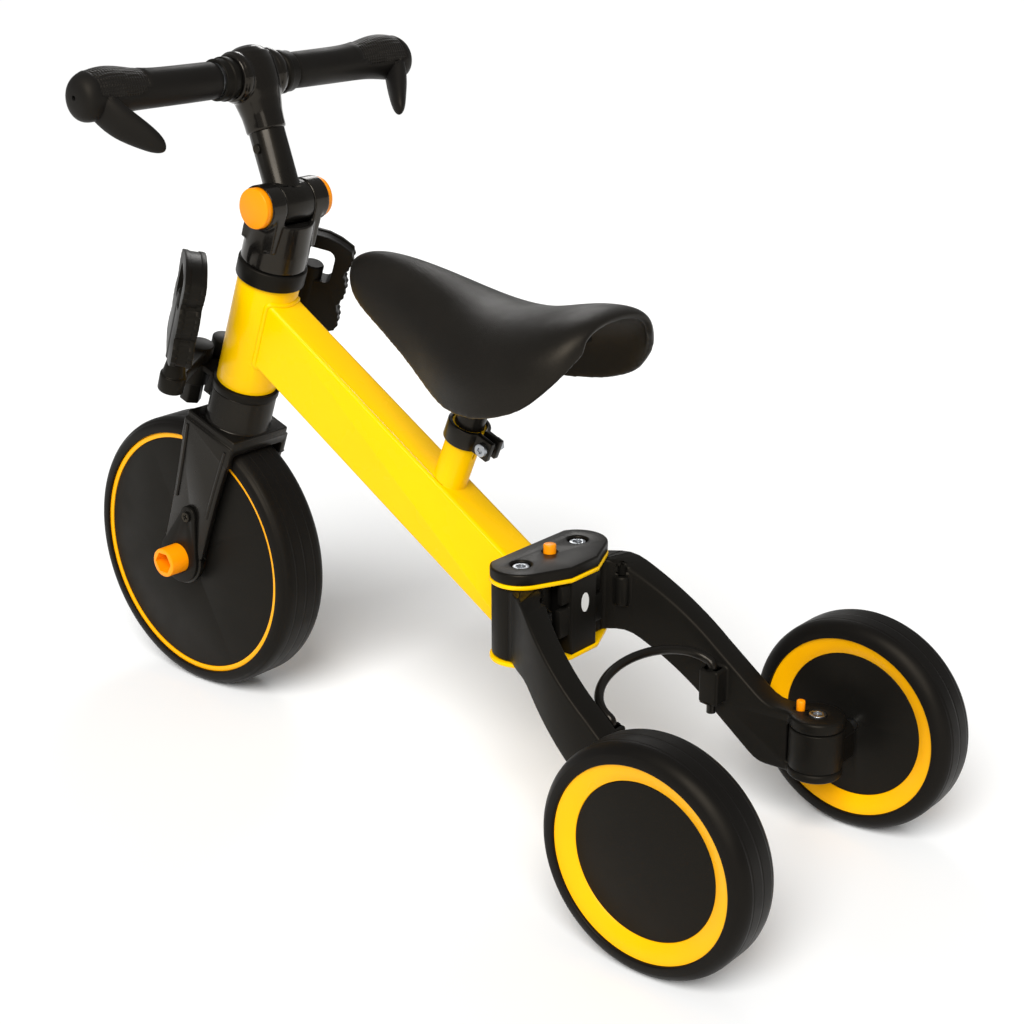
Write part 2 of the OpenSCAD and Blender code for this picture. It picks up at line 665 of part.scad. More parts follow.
module crank(is_right) color(black) on_head() mirrored(is_right) difference() {
  union() {
    for (p = [[stow_x, stow_y], [spindle_x, spindle_y]])
      translate([p[0], p[1], crank_up]) cylinder(h = crank_t, r = eye_r);
    translate([stow_x, stow_y, crank_up + 1.5]) rotate([0, 0, 180 - crank_out]) translate([0, -6, 0])
      cube([crank_len, 12, crank_t - 3]);
    translate([stow_x, stow_y, crank_up - stub_len]) hexagon(stub_d, stub_len + 1);
    translate([spindle_x, spindle_y, crank_up + eye_r - 1]) sphere(eye_r);
    translate([spindle_x, spindle_y, crank_up]) cylinder(h = crank_t + neck_len + barrel_len - 2, r = spindle_r);
    translate([spindle_x, spindle_y, crank_up + crank_t - 0.1]) cylinder(h = neck_len - 1, r1 = 8, r2 = 6);
  }
  translate([stow_x, stow_y, crank_up - stub_len - 1]) cylinder(h = 12, r = 3);
}
module crank_left() crank(false);
module crank_right() crank(true);

pedal_z = crank_up + crank_t + neck_len;
module pedal_outline() {
  difference() {
    union() {
      translate([0, pedal_len / 2]) soft_rect(pedal_w - 8, pedal_len, 8);
      for (s = [-1, 1], y = [0.2, 0.5, 0.8]) translate([s * (pedal_w / 2 - 9), pedal_len * y]) circle(9);
    }
    translate([0, pedal_len * 0.72]) soft_rect(pedal_w * 0.56, pedal_len * 0.34, 5);
  }
}

module pedal(is_right) color(black) on_head() mirrored(is_right)
  translate([spindle_x, spindle_y, pedal_z]) rotate([0, 0, 180 - pedal_turn]) difference() {
    union() {
      translate([0, pedal_t / 2, 0]) rotate([90, 0, 0]) linear_extrude(pedal_t) pedal_outline();
      cylinder(h = barrel_len, r = 7.5);
    }
    translate([0, 0, -1]) cylinder(h = barrel_len + 1, r = spindle_r + slip);
  }
module pedal_left() pedal(false);
module pedal_right() pedal(true);

/* ---- rear housing and arms ---- */

module housing_block() color(black) at_pivots() translate([0, 0, plate_z + plate_t]) difference() {
  union() {
    translate([-housing_back + 1, -housing_back_half + 1, 0])
      cube([housing_back + housing_front - 3, 2 * housing_back_half - 2, housing_h]);
    both() {
      translate([-housing_back + 3, 0, 34]) cube([4, 19, 12]);
      translate([-housing_back + 3, 0, 13]) cube([4, 21, 18]);
    }
  }
  both() translate([0, pivot_y, -1]) cylinder(h = housing_h + 2, r = knuckle_r + gap);
  translate([0, 0, housing_h - 26]) cylinder(h = 40, d = button_d + 2 * gap);
}

module housing_cap() color(black) at_pivots() translate([0, 0, cap_z]) difference() {
  linear_extrude(cap_t) housing_outline(housing_r - 0.3, housing_back - 0.3, housing_back_half - 0.3);
  translate([0, 0, -1]) cylinder(h = cap_t + 2, d = button_d + 2 * gap);
  both() translate([0, pivot_y, 0]) {
    translate([0, 0, -1]) cylinder(h = cap_t + 2, d = pivot_d + 2 * slip);
    translate([0, 0, cap_t - 4.5]) cylinder(h = 5, r = bolt_head_r + 1.2);
  }
}

module pivot_bolt(is_right) color(steel) at_pivots() mirrored(is_right) translate([0, pivot_y, 0]) {
  translate([0, 0, plate_z - 3]) cylinder(h = cap_z + cap_t - plate_z, d = pivot_d);
  translate([0, 0, plate_z - 5.2]) cylinder(h = 5, d = 13, $fn = 6);
  difference() {
    translate([0, 0, cap_z + cap_t - 4.3]) cylinder(h = bolt_head_t, r = bolt_head_r);
    translate([0, 0, cap_z + cap_t - 2.8]) hexagon(6, 3);
  }
}
module pivot_bolt_left() pivot_bolt(false);
module pivot_bolt_right() pivot_bolt(true);

lock_foot = cap_z - 14;
module lock_button() color(orange) at_pivots()
  translate([0, 0, lock_foot]) cylinder(h = cap_z + cap_t + 5 - lock_foot, d = button_d);

spring_r = 2.8;
spring_wire = 0.9;
spring_z = plate_z + plate_t + housing_h - 25.5;
SPRING_TURNS = 4;
SPRING_STEPS = 14;
function ring_point(c, a, r, b) = [(c[0] + r * cos(b)) * cos(a), (c[0] + r * cos(b)) * sin(a), c[1] + r * sin(b)];
module lock_spring() color(steel) at_pivots() {
  h = lock_foot - spring_z - 1.4;
  turns = SPRING_TURNS * SPRING_STEPS;
  points = [for (k = [0 : turns], i = [0 : 5])
    ring_point([spring_r, spring_z + 0.7 + h * k / turns], 360 * k / SPRING_STEPS, spring_wire / 2, 60 * i)];
  faces = [for (k = [0 : turns - 1], i = [0 : 5]) let(j = (i + 1) % 6)
    each [[k * 6 + i, k * 6 + j, (k + 1) * 6 + i], [k * 6 + j, (k + 1) * 6 + j, (k + 1) * 6 + i]]];
  ends = [[for (i = [5 : -1 : 0]) i], [for (i = [0 : 5]) turns * 6 + i]];
  polyhedron(points, concat(faces, ends));
}

// Share of the way down, eased at both ends so that the arm's top and bottom run in smoothly
EASE = 0.12;
function ease(t) = t < EASE ? t * t / (2 * EASE * (1 - EASE))
  : t > 1 - EASE ? 1 - (1 - t) * (1 - t) / (2 * EASE * (1 - EASE)) : (t - EASE / 2) / (1 - EASE);
DROP_STEPS = 24;
function drop_line(from, to, high, low) = [for (i = [0 : DROP_STEPS]) let(t = i / DROP_STEPS)
  [lerp(from, to, t), lerp(high, low, ease(t))]];

// The arm seen from the side, as x and z
module arm_side() polygon(concat([[pivot_x + knuckle_r + 1, arm_root_top]],
  drop_line(arm_drop_from, arm_drop_to, arm_root_top, arm_low_z), [[-lug_r - 20, arm_low_z]],
  [[-lug_r - 20, arm_low_bottom]],
  [for (p = drop_line(arm_drop_to + 6, arm_drop_from - 7, arm_low_bottom, arm_root_z)) p],
  [[pivot_x + knuckle_r + 1, arm_root_z]]));

// The middle line of an arm seen from above: out from the pivot in a curve, then straight back
PLAN_STEPS = 20;
function curve_point(a, b, c, d, t) = let(u = 1 - t)
  u * u * u * a + 3 * u * u * t * b + 3 * u * t * t * c + t * t * t * d;
function arm_middle(t) = curve_point([pivot_x, pivot_y], [pivot_x - 22, pivot_y + 21],
  [arm_bend_x, arm_bend_y], [76, swivel_y - 3.8], t);
function arm_heading(t) = let(v = arm_middle(min(t + 0.01, 1)) - arm_middle(max(t - 0.01, 0))) v / norm(v);
function arm_edge(side) = concat([for (i = [0 : PLAN_STEPS]) let(t = i / PLAN_STEPS, v = arm_heading(t))
  arm_middle(t) + side * arm_t / 2 * [-v[1], v[0]]], [[swivel_x, swivel_y + side * arm_t / 2 * -1]]);

// The arm seen from above, with a round knuckle at the front and a round lug at the rear
module arm_plan() {
  outer = arm_edge(-1);
  inner = arm_edge(1);
  polygon(concat(outer, [for (i = [len(inner) - 1 : -1 : 0]) inner[i]]));
  translate([pivot_x, pivot_y]) circle(knuckle_r);
  translate([swivel_x, swivel_y]) circle(lug_r);
}

module arm(is_right) color(black) on_axle() mirrored(is_right) difference() {
  union() {
    intersection() {
      linear_extrude(200) arm_plan();
      translate([0, 120, 0]) rotate([90, 0, 0]) linear_extrude(140) arm_side();
    }
    translate([block_x - block_half, block_in, block_bottom])
      cube([2 * block_half, swivel_y - arm_t / 2 - block_in, block_top - block_bottom]);
    translate([stop_x, stop_y, 132.4]) cylinder(h = 20, r = 4.6);
  }
  translate([stop_x, stop_y, 140]) cylinder(h = 20, r = 2.2);
  translate([pivot_x, pivot_y, 0]) cylinder(h = 200, d = pivot_d + 2 * slip);
  translate([swivel_x, swivel_y, slot_bottom]) cylinder(h = slot_top - slot_bottom, r = lug_r + 0.6);
  translate([swivel_x, swivel_y, 0]) cylinder(h = 200, d = pivot_d + 2 * slip);
  translate([swivel_x, swivel_y, arm_low_z - 3]) cylinder(h = 5, r = bolt_head_r + 0.6);
  translate([swivel_x + latch_x, swivel_y, slot_top - 1]) cylinder(h = lug_t + 2, d = latch_d + 2 * gap);
  translate([block_x, wire_y, block_bottom - 1]) cylinder(h = block_top - block_bottom + 2, d = wire_d + 2 * gap);
}
module arm_left() arm(false);
module arm_right() arm(true);

module bracket_bolt(is_right) color(steel) on_axle() mirrored(is_right) translate([swivel_x, swivel_y, 0]) {
  translate([0, 0, arm_low_bottom + 0.5]) cylinder(h = arm_low_h - 3, d = pivot_d);
  difference() {
    translate([0, 0, arm_low_z - 2.9]) cylinder(h = bolt_head_t, r = bolt_head_r);
    translate([0, 0, arm_low_z - 1.4]) hexagon(6, 3);
  }
}
module bracket_bolt_left() bracket_bolt(false);
module bracket_bolt_right() bracket_bolt(true);

module latch_button(is_right) color(orange) on_axle() mirrored(is_right)
  translate([swivel_x + latch_x, swivel_y, slot_top + button_travel + 0.4])
    cylinder(h = lug_t - button_travel + 5, d = latch_d);
module latch_button_left() latch_button(false);
module latch_button_right() latch_button(true);

// The wheel bracket: a barrel between the arm's lugs and a boss that carries the axle
boss_r = 6.8;
module bracket(is_right) color(black) on_axle() mirrored(is_right) difference() {
  union() {
    translate([swivel_x, swivel_y, slot_bottom + gap])
      cylinder(h = slot_top - slot_bottom - 2 * gap, r = bracket_r);
    translate([0, 0, rear_wheel_r]) along_y(boss_r, swivel_y, wheel_in - 1);
    translate([-boss_r, swivel_y + 6, slot_bottom + gap + 2])
      cube([2 * boss_r, bracket_r - 2, rear_wheel_r - slot_bottom - 2]);
  }
  translate([swivel_x, swivel_y, 0]) cylinder(h = 200, d = pivot_d + 2 * slip);
  translate([0, 0, rear_wheel_r]) along_y(rear_axle_d / 2 + slip, swivel_y + 6, wheel_in + 1);
}
module bracket_left() bracket(false);
module bracket_right() bracket(true);

// A bent steel wire: its ends stand in the two arms' blocks and its middle bows forward
WIRE_SIDES = 10;
BEND_STEPS = 6;
BOW_STEPS = 36;
wire_rise = 66;                                  // turn of the bend above each block
function wire_half() = let(r = wire_bend_r) concat(
  [[block_x, wire_y, block_bottom - 7], [block_x, wire_y, wire_bend_z]],
  [for (i = [1 : BEND_STEPS]) let(a = wire_rise * i / BEND_STEPS)
    [block_x + r * (1 - cos(a)), wire_y, wire_bend_z + r * sin(a)]]);
function wire_bow() = let(p = wire_half()[len(wire_half()) - 1])
  [for (i = [1 : BOW_STEPS - 1]) let(a = 180 * i / BOW_STEPS)
    [p[0] + wire_bow_x * sin(a), wire_y * cos(a), p[2] + wire_bow_x * sin(a) / tan(wire_rise)]];
function across_plane(list) = [for (i = [len(list) - 1 : -1 : 0]) [list[i][0], -list[i][1], list[i][2]]];
module brace_wire() color(black) on_axle() {
  line = concat(wire_half(), wire_bow(), across_plane(wire_half()));
  last = len(line) - 1;
  n = WIRE_SIDES;
  points = [for (k = [0 : last]) let(v = line[min(k + 1, last)] - line[max(k - 1, 0)], t = v / norm(v),
    a = cross(t, [-1, 0, 1] / sqrt(2)), e = a / norm(a), f = cross(t, e))
    each [for (i = [0 : n - 1]) line[k] + wire_d / 2 * (cos(360 * i / n) * e + sin(360 * i / n) * f)]];
  sides = [for (k = [0 : last - 1], i = [0 : n - 1]) let(j = (i + 1) % n)
    each [[k * n + i, (k + 1) * n + i, k * n + j], [k * n + j, (k + 1) * n + i, (k + 1) * n + j]]];
  ends = [[for (i = [0 : n - 1]) i], [for (i = [n - 1 : -1 : 0]) last * n + i]];
  polyhedron(points, concat(sides, ends));
}

/* ---- rear wheels ---- */

module at_wheel(is_right) on_axle() mirrored(is_right) translate([0, wheel_y, rear_wheel_r]) children();

module tyre(is_right) color(rubber) at_wheel(is_right) turned_on_y() difference() {
  tyre_section(rear_wheel_r, rear_tyre_w, rear_rim_r, 9.5);
  translate([rear_wheel_r, 0]) circle(0.6, $fn = 16);
}
module tyre_left() tyre(false);
module tyre_right() tyre(true);

// The coloured rim: its faces slope in from the tyre to the hub disc
module rim(is_right) color(yellow) at_wheel(is_right) turned_on_y()
  polygon([[rear_rim_bore_r, -rim_face + rim_dip], [rear_rim_r - 0.02, -rim_face],
    [rear_rim_r - 0.02, rim_face], [rear_rim_bore_r, rim_face - rim_dip]]);
module rim_left() rim(false);
module rim_right() rim(true);

hub_face = rim_face - rim_dip;
hub_wall = 2.5;
module hub(is_right) color(black) at_wheel(is_right) difference() {
  along_y(rear_rim_bore_r - 0.02, -hub_face, hub_face);
  along_y(rear_axle_d / 2 + slip, -hub_face - 1, hub_face - 2.5);
  turned_on_y() {
    translate([rear_axle_d / 2 + 3, hub_wall - hub_face])
      square([rear_rim_bore_r - rear_axle_d / 2 - 6, 2 * (hub_face - hub_wall)]);
    translate([0, -2]) square([rear_rim_bore_r / 2, 4]);
  }
}
module hub_left() hub(false);
module hub_right() hub(true);

module axle(is_right) color(steel) on_axle() mirrored(is_right) translate([0, 0, rear_wheel_r])
  along_y(rear_axle_d / 2, swivel_y + 7, wheel_y + hub_face - 2.8);
module axle_left() axle(false);
module axle_right() axle(true);

main_frame();
head_bushes();
headset_cup();
seat_clamp();
clamp_bolt();
clamp_nut();
housing_block();
housing_cap();
pivot_bolt_left();
pivot_bolt_right();
lock_spring();
brace_wire();
lock_button();
seat_post();
saddle_base();
saddle_cover();
saddle_screws();
fork();
steerer_tube();
pedal_holder();
hub_cover_left();
hub_cover_right();
cover_screws();
stem_base();
hinge_pin();
hinge_button_left();
hinge_button_right();
riser();
riser_screws();
stem_head();
handlebar_tube();
grip_left();
grip_right();
grip_collar_left();
grip_collar_right();
front_tyre();
front_wheel_core();
front_bands();
drive_socket_left();
drive_socket_right();
crank_left();
crank_right();
pedal_left();
pedal_right();
arm_left();
arm_right();
bracket_bolt_left();
bracket_bolt_right();
latch_button_left();
latch_button_right();
bracket_left();
bracket_right();
tyre_left();
tyre_right();
rim_left();
rim_right();
hub_left();
hub_right();
axle_left();
axle_right();
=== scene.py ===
"""A folding child's tricycle: its visible pieces, their finishes, the studio and the camera."""
import json
import logging
import math
from collections.abc import Iterable, Sequence
from dataclasses import dataclass
from enum import Enum
from typing import Any

import bpy
from mathutils import Matrix, Vector


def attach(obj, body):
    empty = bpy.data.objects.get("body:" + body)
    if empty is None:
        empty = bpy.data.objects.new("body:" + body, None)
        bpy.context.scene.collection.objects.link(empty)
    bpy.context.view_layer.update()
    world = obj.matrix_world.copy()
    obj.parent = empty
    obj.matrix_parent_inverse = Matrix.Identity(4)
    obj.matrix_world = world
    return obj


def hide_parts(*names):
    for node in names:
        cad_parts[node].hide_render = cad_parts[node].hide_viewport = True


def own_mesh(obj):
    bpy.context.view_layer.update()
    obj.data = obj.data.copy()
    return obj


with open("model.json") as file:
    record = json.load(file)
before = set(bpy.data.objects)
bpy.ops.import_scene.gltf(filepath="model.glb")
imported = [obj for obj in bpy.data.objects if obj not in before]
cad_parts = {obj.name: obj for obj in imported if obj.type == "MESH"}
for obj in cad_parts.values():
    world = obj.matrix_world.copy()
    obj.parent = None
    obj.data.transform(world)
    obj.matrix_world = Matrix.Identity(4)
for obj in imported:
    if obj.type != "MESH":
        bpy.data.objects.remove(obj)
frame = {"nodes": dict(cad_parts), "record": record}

LOG = logging.getLogger("tricycle")
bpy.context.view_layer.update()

MM = 0.001
FULL_TURN = 2 * math.pi
REAR_AXLE_X = -254.15      # the rear axle's place along the part, in millimetres
HEAD_LEAN = math.radians(20)
RISER_LEAN = math.radians(19.4)
HEAD_FOOT = (428.26, 0.0, 233.91)
HINGE_UP = 136.1
FORK_LENGTH = 142.5
WAVE_UNIT = math.pi / 10     # a wave texture's scale for one band in each unit of length
SMOOTH_ANGLE = math.radians(38)


class Side(Enum):
    """The rider's left or right, as the sign of Y."""

    LEFT = 1
    RIGHT = -1

    @property
    def word(self) -> str:
        """The side's name as the nodes spell it."""
        return self.name.lower()


# ---- places -------------------------------------------------------------------------------------


def from_axle(x: float, y: float, z: float) -> Vector:
    """Turns a place measured from the rear axle's foot into the part's frame.

    Args:
        x: millimetres ahead of the rear axle.
        y: millimetres to the left of the middle plane.
        z: millimetres above the ground.

    Returns:
        The same place in metres.
    """
    return Vector(((x + REAR_AXLE_X) * MM, y * MM, z * MM))


def head_frame(up: float = 0.0) -> Matrix:
    """The frame of the steering head, with Z along the steering axis.

    Args:
        up: millimetres above the bottom of the head tube.

    Returns:
        The matrix that takes the head's own places to the part's frame.
    """
    turn = Matrix.Rotation(-HEAD_LEAN, 4, "Y")
    return Matrix.Translation(from_axle(*HEAD_FOOT)) @ turn @ Matrix.Translation((0, 0, up * MM))


def riser_frame(up: float = 0.0) -> Matrix:
    """The frame of the handlebar's riser, with Z along it and its origin at the tilt hinge.

    Args:
        up: millimetres above the hinge.

    Returns:
        The matrix that takes the riser's own places to the part's frame.
    """
    hinge = head_frame(HINGE_UP).to_translation()
    turn = Matrix.Rotation(RISER_LEAN, 4, "Y")
    return Matrix.Translation(hinge) @ turn @ Matrix.Translation((0, 0, up * MM))


def wheel_frame(x: float, y: float, z: float) -> Matrix:
    """The frame of a wheel, with Z along its axle towards the left.

    Args:
        x: millimetres ahead of the rear axle.
        y: millimetres to the left of the middle plane.
        z: millimetres above the ground.

    Returns:
        The matrix that takes the wheel's own places to the part's frame.
    """
    return Matrix.Translation(from_axle(x, y, z)) @ Matrix.Rotation(-math.pi / 2, 4, "X")


# ---- modelling ----------------------------------------------------------------------------------


def clear_selection() -> None:
    """Leaves edit mode and deselects every object."""
    if bpy.context.object and bpy.context.object.mode != "OBJECT":
        bpy.ops.object.mode_set(mode="OBJECT")
    bpy.ops.object.select_all(action="DESELECT")


def activate(piece: bpy.types.Object) -> None:
    """Makes a piece the only selected object, and the active one."""
    clear_selection()
    piece.select_set(True)
    bpy.context.view_layer.objects.active = piece


def open_mesh(piece: bpy.types.Object, select: str = "SELECT") -> None:
    """Opens a piece in edit mode with all or none of its mesh selected."""
    activate(piece)
    bpy.ops.object.mode_set(mode="EDIT")
    bpy.ops.mesh.select_mode(type="VERT")
    bpy.ops.mesh.select_all(action=select)


def close_mesh() -> None:
    """Goes back to object mode."""
    bpy.ops.object.mode_set(mode="OBJECT")


def mend(piece: bpy.types.Object, distance: float = 2e-6) -> None:
    """Merges a piece's doubled vertices and turns all its faces outwards."""
    open_mesh(piece)
    bpy.ops.mesh.remove_doubles(threshold=distance)
    bpy.ops.mesh.normals_make_consistent(inside=False)
    close_mesh()


def apply_modifier(piece: bpy.types.Object, kind: str, **settings: Any) -> None:
    """Adds one modifier to a piece and applies it.

    Args:
        piece: the piece to change.
        kind: Blender's name for the modifier.
        **settings: the modifier's own settings.
    """
    activate(piece)
    modifier = piece.modifiers.new(kind.title(), kind)
    for key, value in settings.items():
        setattr(modifier, key, value)
    bpy.ops.object.modifier_apply(modifier=modifier.name)


def settle(piece: bpy.types.Object, place: Matrix) -> None:
    """Moves a piece to its place and applies it, so that the place is in the mesh."""
    activate(piece)
    piece.matrix_world = place @ piece.matrix_world
    bpy.ops.object.transform_apply(location=True, rotation=True, scale=True)


def traced(name: str, points: Sequence[tuple[float, float, float]]) -> bpy.types.Object:
    """Draws a line of edges by pulling one vertex from point to point.

    Args:
        name: the new piece's name.
        points: the line's corners in millimetres.

    Returns:
        The new piece, which has edges and no faces.
    """
    clear_selection()
    bpy.ops.mesh.primitive_plane_add(size=MM)
    piece = bpy.context.object
    piece.name = name
    open_mesh(piece)
    bpy.ops.mesh.merge(type="CENTER")
    here = Vector(points[0]) * MM
    bpy.ops.transform.translate(value=here)
    for point in points[1:]:
        step = Vector(point) * MM - here
        bpy.ops.mesh.extrude_vertices_move(TRANSFORM_OT_translate={"value": step})
        here += step
    close_mesh()
    return piece


def turned(name: str, outline: Sequence[tuple[float, float]], closed: bool = False,
           steps: int = 96) -> bpy.types.Object:
    """Turns an outline about Z, as on a lathe.

    Args:
        name: the new piece's name.
        outline: radius and height of each corner, in millimetres.
        closed: whether the outline's end joins its start, as a tyre's does.
        steps: how many steps there are in a full turn.

    Returns:
        The new piece, closed and with its faces outwards.
    """
    points = [(radius, 0.0, height) for radius, height in outline]
    if closed:
        points.append(points[0])
    piece = traced(name, points)
    mend(piece)
    apply_modifier(piece, "SCREW", angle=FULL_TURN, steps=steps, render_steps=steps, axis="Z",
                   use_merge_vertices=True, merge_threshold=1e-6)
    mend(piece)
    return piece


def rounded(corners: Sequence[tuple[float, float, float]], steps: int = 5) -> list[tuple[float, float]]:
    """Rounds the corners of an outline.

    Args:
        corners: the two coordinates of each corner and the radius it is rounded to.
        steps: how many edges each rounded corner gets.

    Returns:
        The outline's points.
    """
    points: list[tuple[float, float]] = []
    count = len(corners)
    for index, (x, y, radius) in enumerate(corners):
        here = Vector((x, y))
        if radius <= 0:
            points.append((x, y))
            continue
        before = (Vector(corners[index - 1][:2]) - here).normalized()
        after = (Vector(corners[(index + 1) % count][:2]) - here).normalized()
        half = math.acos(max(-1.0, min(1.0, before.dot(after)))) / 2
        reach = radius / math.tan(half)
        middle = here + (before + after).normalized() * (radius / math.sin(half))
        first, last = here + before * reach - middle, here + after * reach - middle
        sweep = first.angle_signed(last)
        for step in range(steps + 1):
            spoke = Matrix.Rotation(-sweep * step / steps, 2) @ first
            points.append(tuple(middle + spoke))
    return points


def slab(name: str, outline: Sequence[tuple[float, float]], height: float) -> bpy.types.Object:
    """Fills an outline and pulls it up along Z.

    Args:
        name: the new piece's name.
        outline: the two coordinates of each corner, in millimetres.
        height: the slab's thickness in millimetres.

    Returns:
        The new piece, with its base at height 0.
    """
    piece = traced(name, [(x, y, 0.0) for x, y in outline])
    open_mesh(piece)
    bpy.ops.mesh.edge_face_add()
    bpy.ops.mesh.extrude_region_move(TRANSFORM_OT_translate={"value": (0, 0, height * MM)})
    close_mesh()
    mend(piece)
    return piece


def rod(name: str, radius: float, start: float, end: float, sides: int = 48) -> bpy.types.Object:
    """A round bar along Z with its ends eased.

    Args:
        name: the new piece's name.
        radius: the bar's radius in millimetres.
        start: height of its lower end in millimetres.
        end: height of its upper end in millimetres.
        sides: how many faces go round it.

    Returns:
        The new piece.
    """
    clear_selection()
    bpy.ops.mesh.primitive_cylinder_add(vertices=sides, radius=radius * MM, depth=(end - start) * MM,
                                        location=(0, 0, (start + end) / 2 * MM))
    piece = bpy.context.object
    piece.name = name
    settle(piece, Matrix())
    apply_modifier(piece, "BEVEL", width=min(0.4, radius / 4) * MM, segments=2, limit_method="ANGLE",
                   angle_limit=math.radians(50))
    return piece


def loft(name: str, ring: Sequence[tuple[float, float, float]],
         stations: Iterable[tuple[tuple[float, float, float], tuple[float, float, float]]]
         ) -> bpy.types.Object:
    """Pulls a ring from station to station, moved and resized at each.

    Args:
        name: the new piece's name.
        ring: the corners of the first ring, of unit size about the origin, in the plane it lies in.
        stations: the place of each ring's centre and its three sizes, all in millimetres.

    Returns:
        The new piece, open at both ends.
    """
    places = list(stations)
    piece = traced(name, ring)
    mend(piece)
    centre, size = Vector(places[0][0]), Vector(places[0][1])
    open_mesh(piece)
    bpy.ops.transform.resize(value=size, center_override=(0, 0, 0))
    bpy.ops.transform.translate(value=centre * MM)
    for place, wanted in places[1:]:
        step = (Vector(place) - centre) * MM
        bpy.ops.mesh.extrude_edges_move(TRANSFORM_OT_translate={"value": step})
        centre = Vector(place)
        ratio = Vector(wanted[i] / size[i] for i in range(3))
        bpy.ops.transform.resize(value=ratio, center_override=centre * MM)
        size = Vector(wanted)
    close_mesh()
    return piece


def drawn_rod(name: str, points: Sequence[tuple[float, float, float]], radius: float,
              closed: bool = False) -> bpy.types.Object:
    """Draws a line of points and gives it a round section.

    Args:
        name: the new piece's name.
        points: the middle line's points in millimetres.
        radius: the section's radius in millimetres.
        closed: whether the line's end joins its start.

    Returns:
        The new piece, with closed ends.
    """
    piece = traced(name, [*points, points[0]] if closed else points)
    open_mesh(piece)
    bpy.ops.mesh.remove_doubles(threshold=2e-6)
    close_mesh()
    bpy.ops.object.convert(target="CURVE")
    piece = bpy.context.object
    piece.data.bevel_depth = radius * MM
    piece.data.bevel_resolution = 5
    piece.data.use_fill_caps = True
    bpy.ops.object.convert(target="MESH")
    piece = bpy.context.object
    mend(piece)
    return piece


def joined(name: str, pieces: Sequence[bpy.types.Object]) -> bpy.types.Object:
    """Joins several meshes into one piece."""
    clear_selection()
    for piece in pieces:
        piece.select_set(True)
    bpy.context.view_layer.objects.active = pieces[0]
    bpy.ops.object.join()
    pieces[0].name = name
    return pieces[0]


def fused(piece: bpy.types.Object, grid: float, smoothing: int) -> None:
    """Fuses the solids of one piece into a single skin and softens the places where they meet.

    Args:
        piece: the piece to change.
        grid: the new skin's mesh size in millimetres.
        smoothing: how many rounds of smoothing follow.
    """
    apply_modifier(piece, "REMESH", mode="VOXEL", voxel_size=grid * MM, use_smooth_shade=True)
    apply_modifier(piece, "SMOOTH", factor=0.5, iterations=smoothing)


def cut(piece: bpy.types.Object, cutter: bpy.types.Object, operation: str = "DIFFERENCE") -> None:
    """Cuts, adds or intersects one solid with another, and removes the other."""
    apply_modifier(piece, "BOOLEAN", object=cutter, operation=operation, solver="EXACT")
    bpy.data.objects.remove(cutter)


def eased_copy(node: str, name: str, width: float, angle: float = 32.0,
               segments: int = 2) -> bpy.types.Object:
    """Copies a node's mesh, merges its triangles into whole faces and eases its edges.

    Args:
        node: the node to copy.
        name: the new piece's name.
        width: how wide the eased edges are, in millimetres.
        angle: the least angle in degrees between the faces of an edge that is eased.
        segments: how many faces round off each edge.

    Returns:
        The new piece, in the node's place.
    """
    source = frame["nodes"][node]
    piece = bpy.data.objects.new(name, source.data.copy())
    piece.data.materials.clear()
    bpy.context.scene.collection.objects.link(piece)
    mend(piece, 5e-6)
    open_mesh(piece)
    bpy.ops.mesh.dissolve_limited(angle_limit=math.radians(0.8), delimit={"NORMAL"})
    close_mesh()
    if width > 0:
        apply_modifier(piece, "BEVEL", width=width * MM, segments=segments, limit_method="ANGLE",
                       angle_limit=math.radians(angle), use_clamp_overlap=False,
                       miter_outer="MITER_ARC")
    return piece


# ---- finishes -----------------------------------------------------------------------------------


def linear(colour: str) -> tuple[float, float, float, float]:
    """Turns an sRGB hex colour into a linear one.

    Args:
        colour: the colour as "#RRGGBB".

    Returns:
        Red, green, blue and an alpha of 1.
    """
    parts = [int(colour[i:i + 2], 16) / 255 for i in (1, 3, 5)]
    return (*(p / 12.92 if p <= 0.04045 else ((p + 0.055) / 1.055) ** 2.4 for p in parts), 1.0)


def add_node(tree: bpy.types.NodeTree, kind: str, settings: dict[str, Any] | None = None,
             links: dict[str | int, Any] | None = None) -> bpy.types.Node:
    """Adds one node with its settings and its incoming links.

    Args:
        tree: the node tree it goes in.
        kind: the node's type without the ShaderNode prefix.
        settings: property or input names and their values.
        links: input names and the sockets that feed them.

    Returns:
        The new node.
    """
    node = tree.nodes.new("ShaderNode" + kind)
    for key, value in (settings or {}).items():
        if isinstance(key, str) and hasattr(node, key):
            setattr(node, key, value)
        else:
            node.inputs[key].default_value = value
    for key, socket in (links or {}).items():
        tree.links.new(socket, node.inputs[key])
    return node


class Relief(Enum):
    """The kind of fine relief a finish has."""

    GRAIN = "grain"            # a fine even grain, as moulded or powder coated surfaces have
    HIDE = "hide"              # small cells with creases, as coated leather cloth has
    TREAD = "tread"            # fine rings round a tyre
    STUDS = "studs"            # rows of small round studs, as on a grip's palm


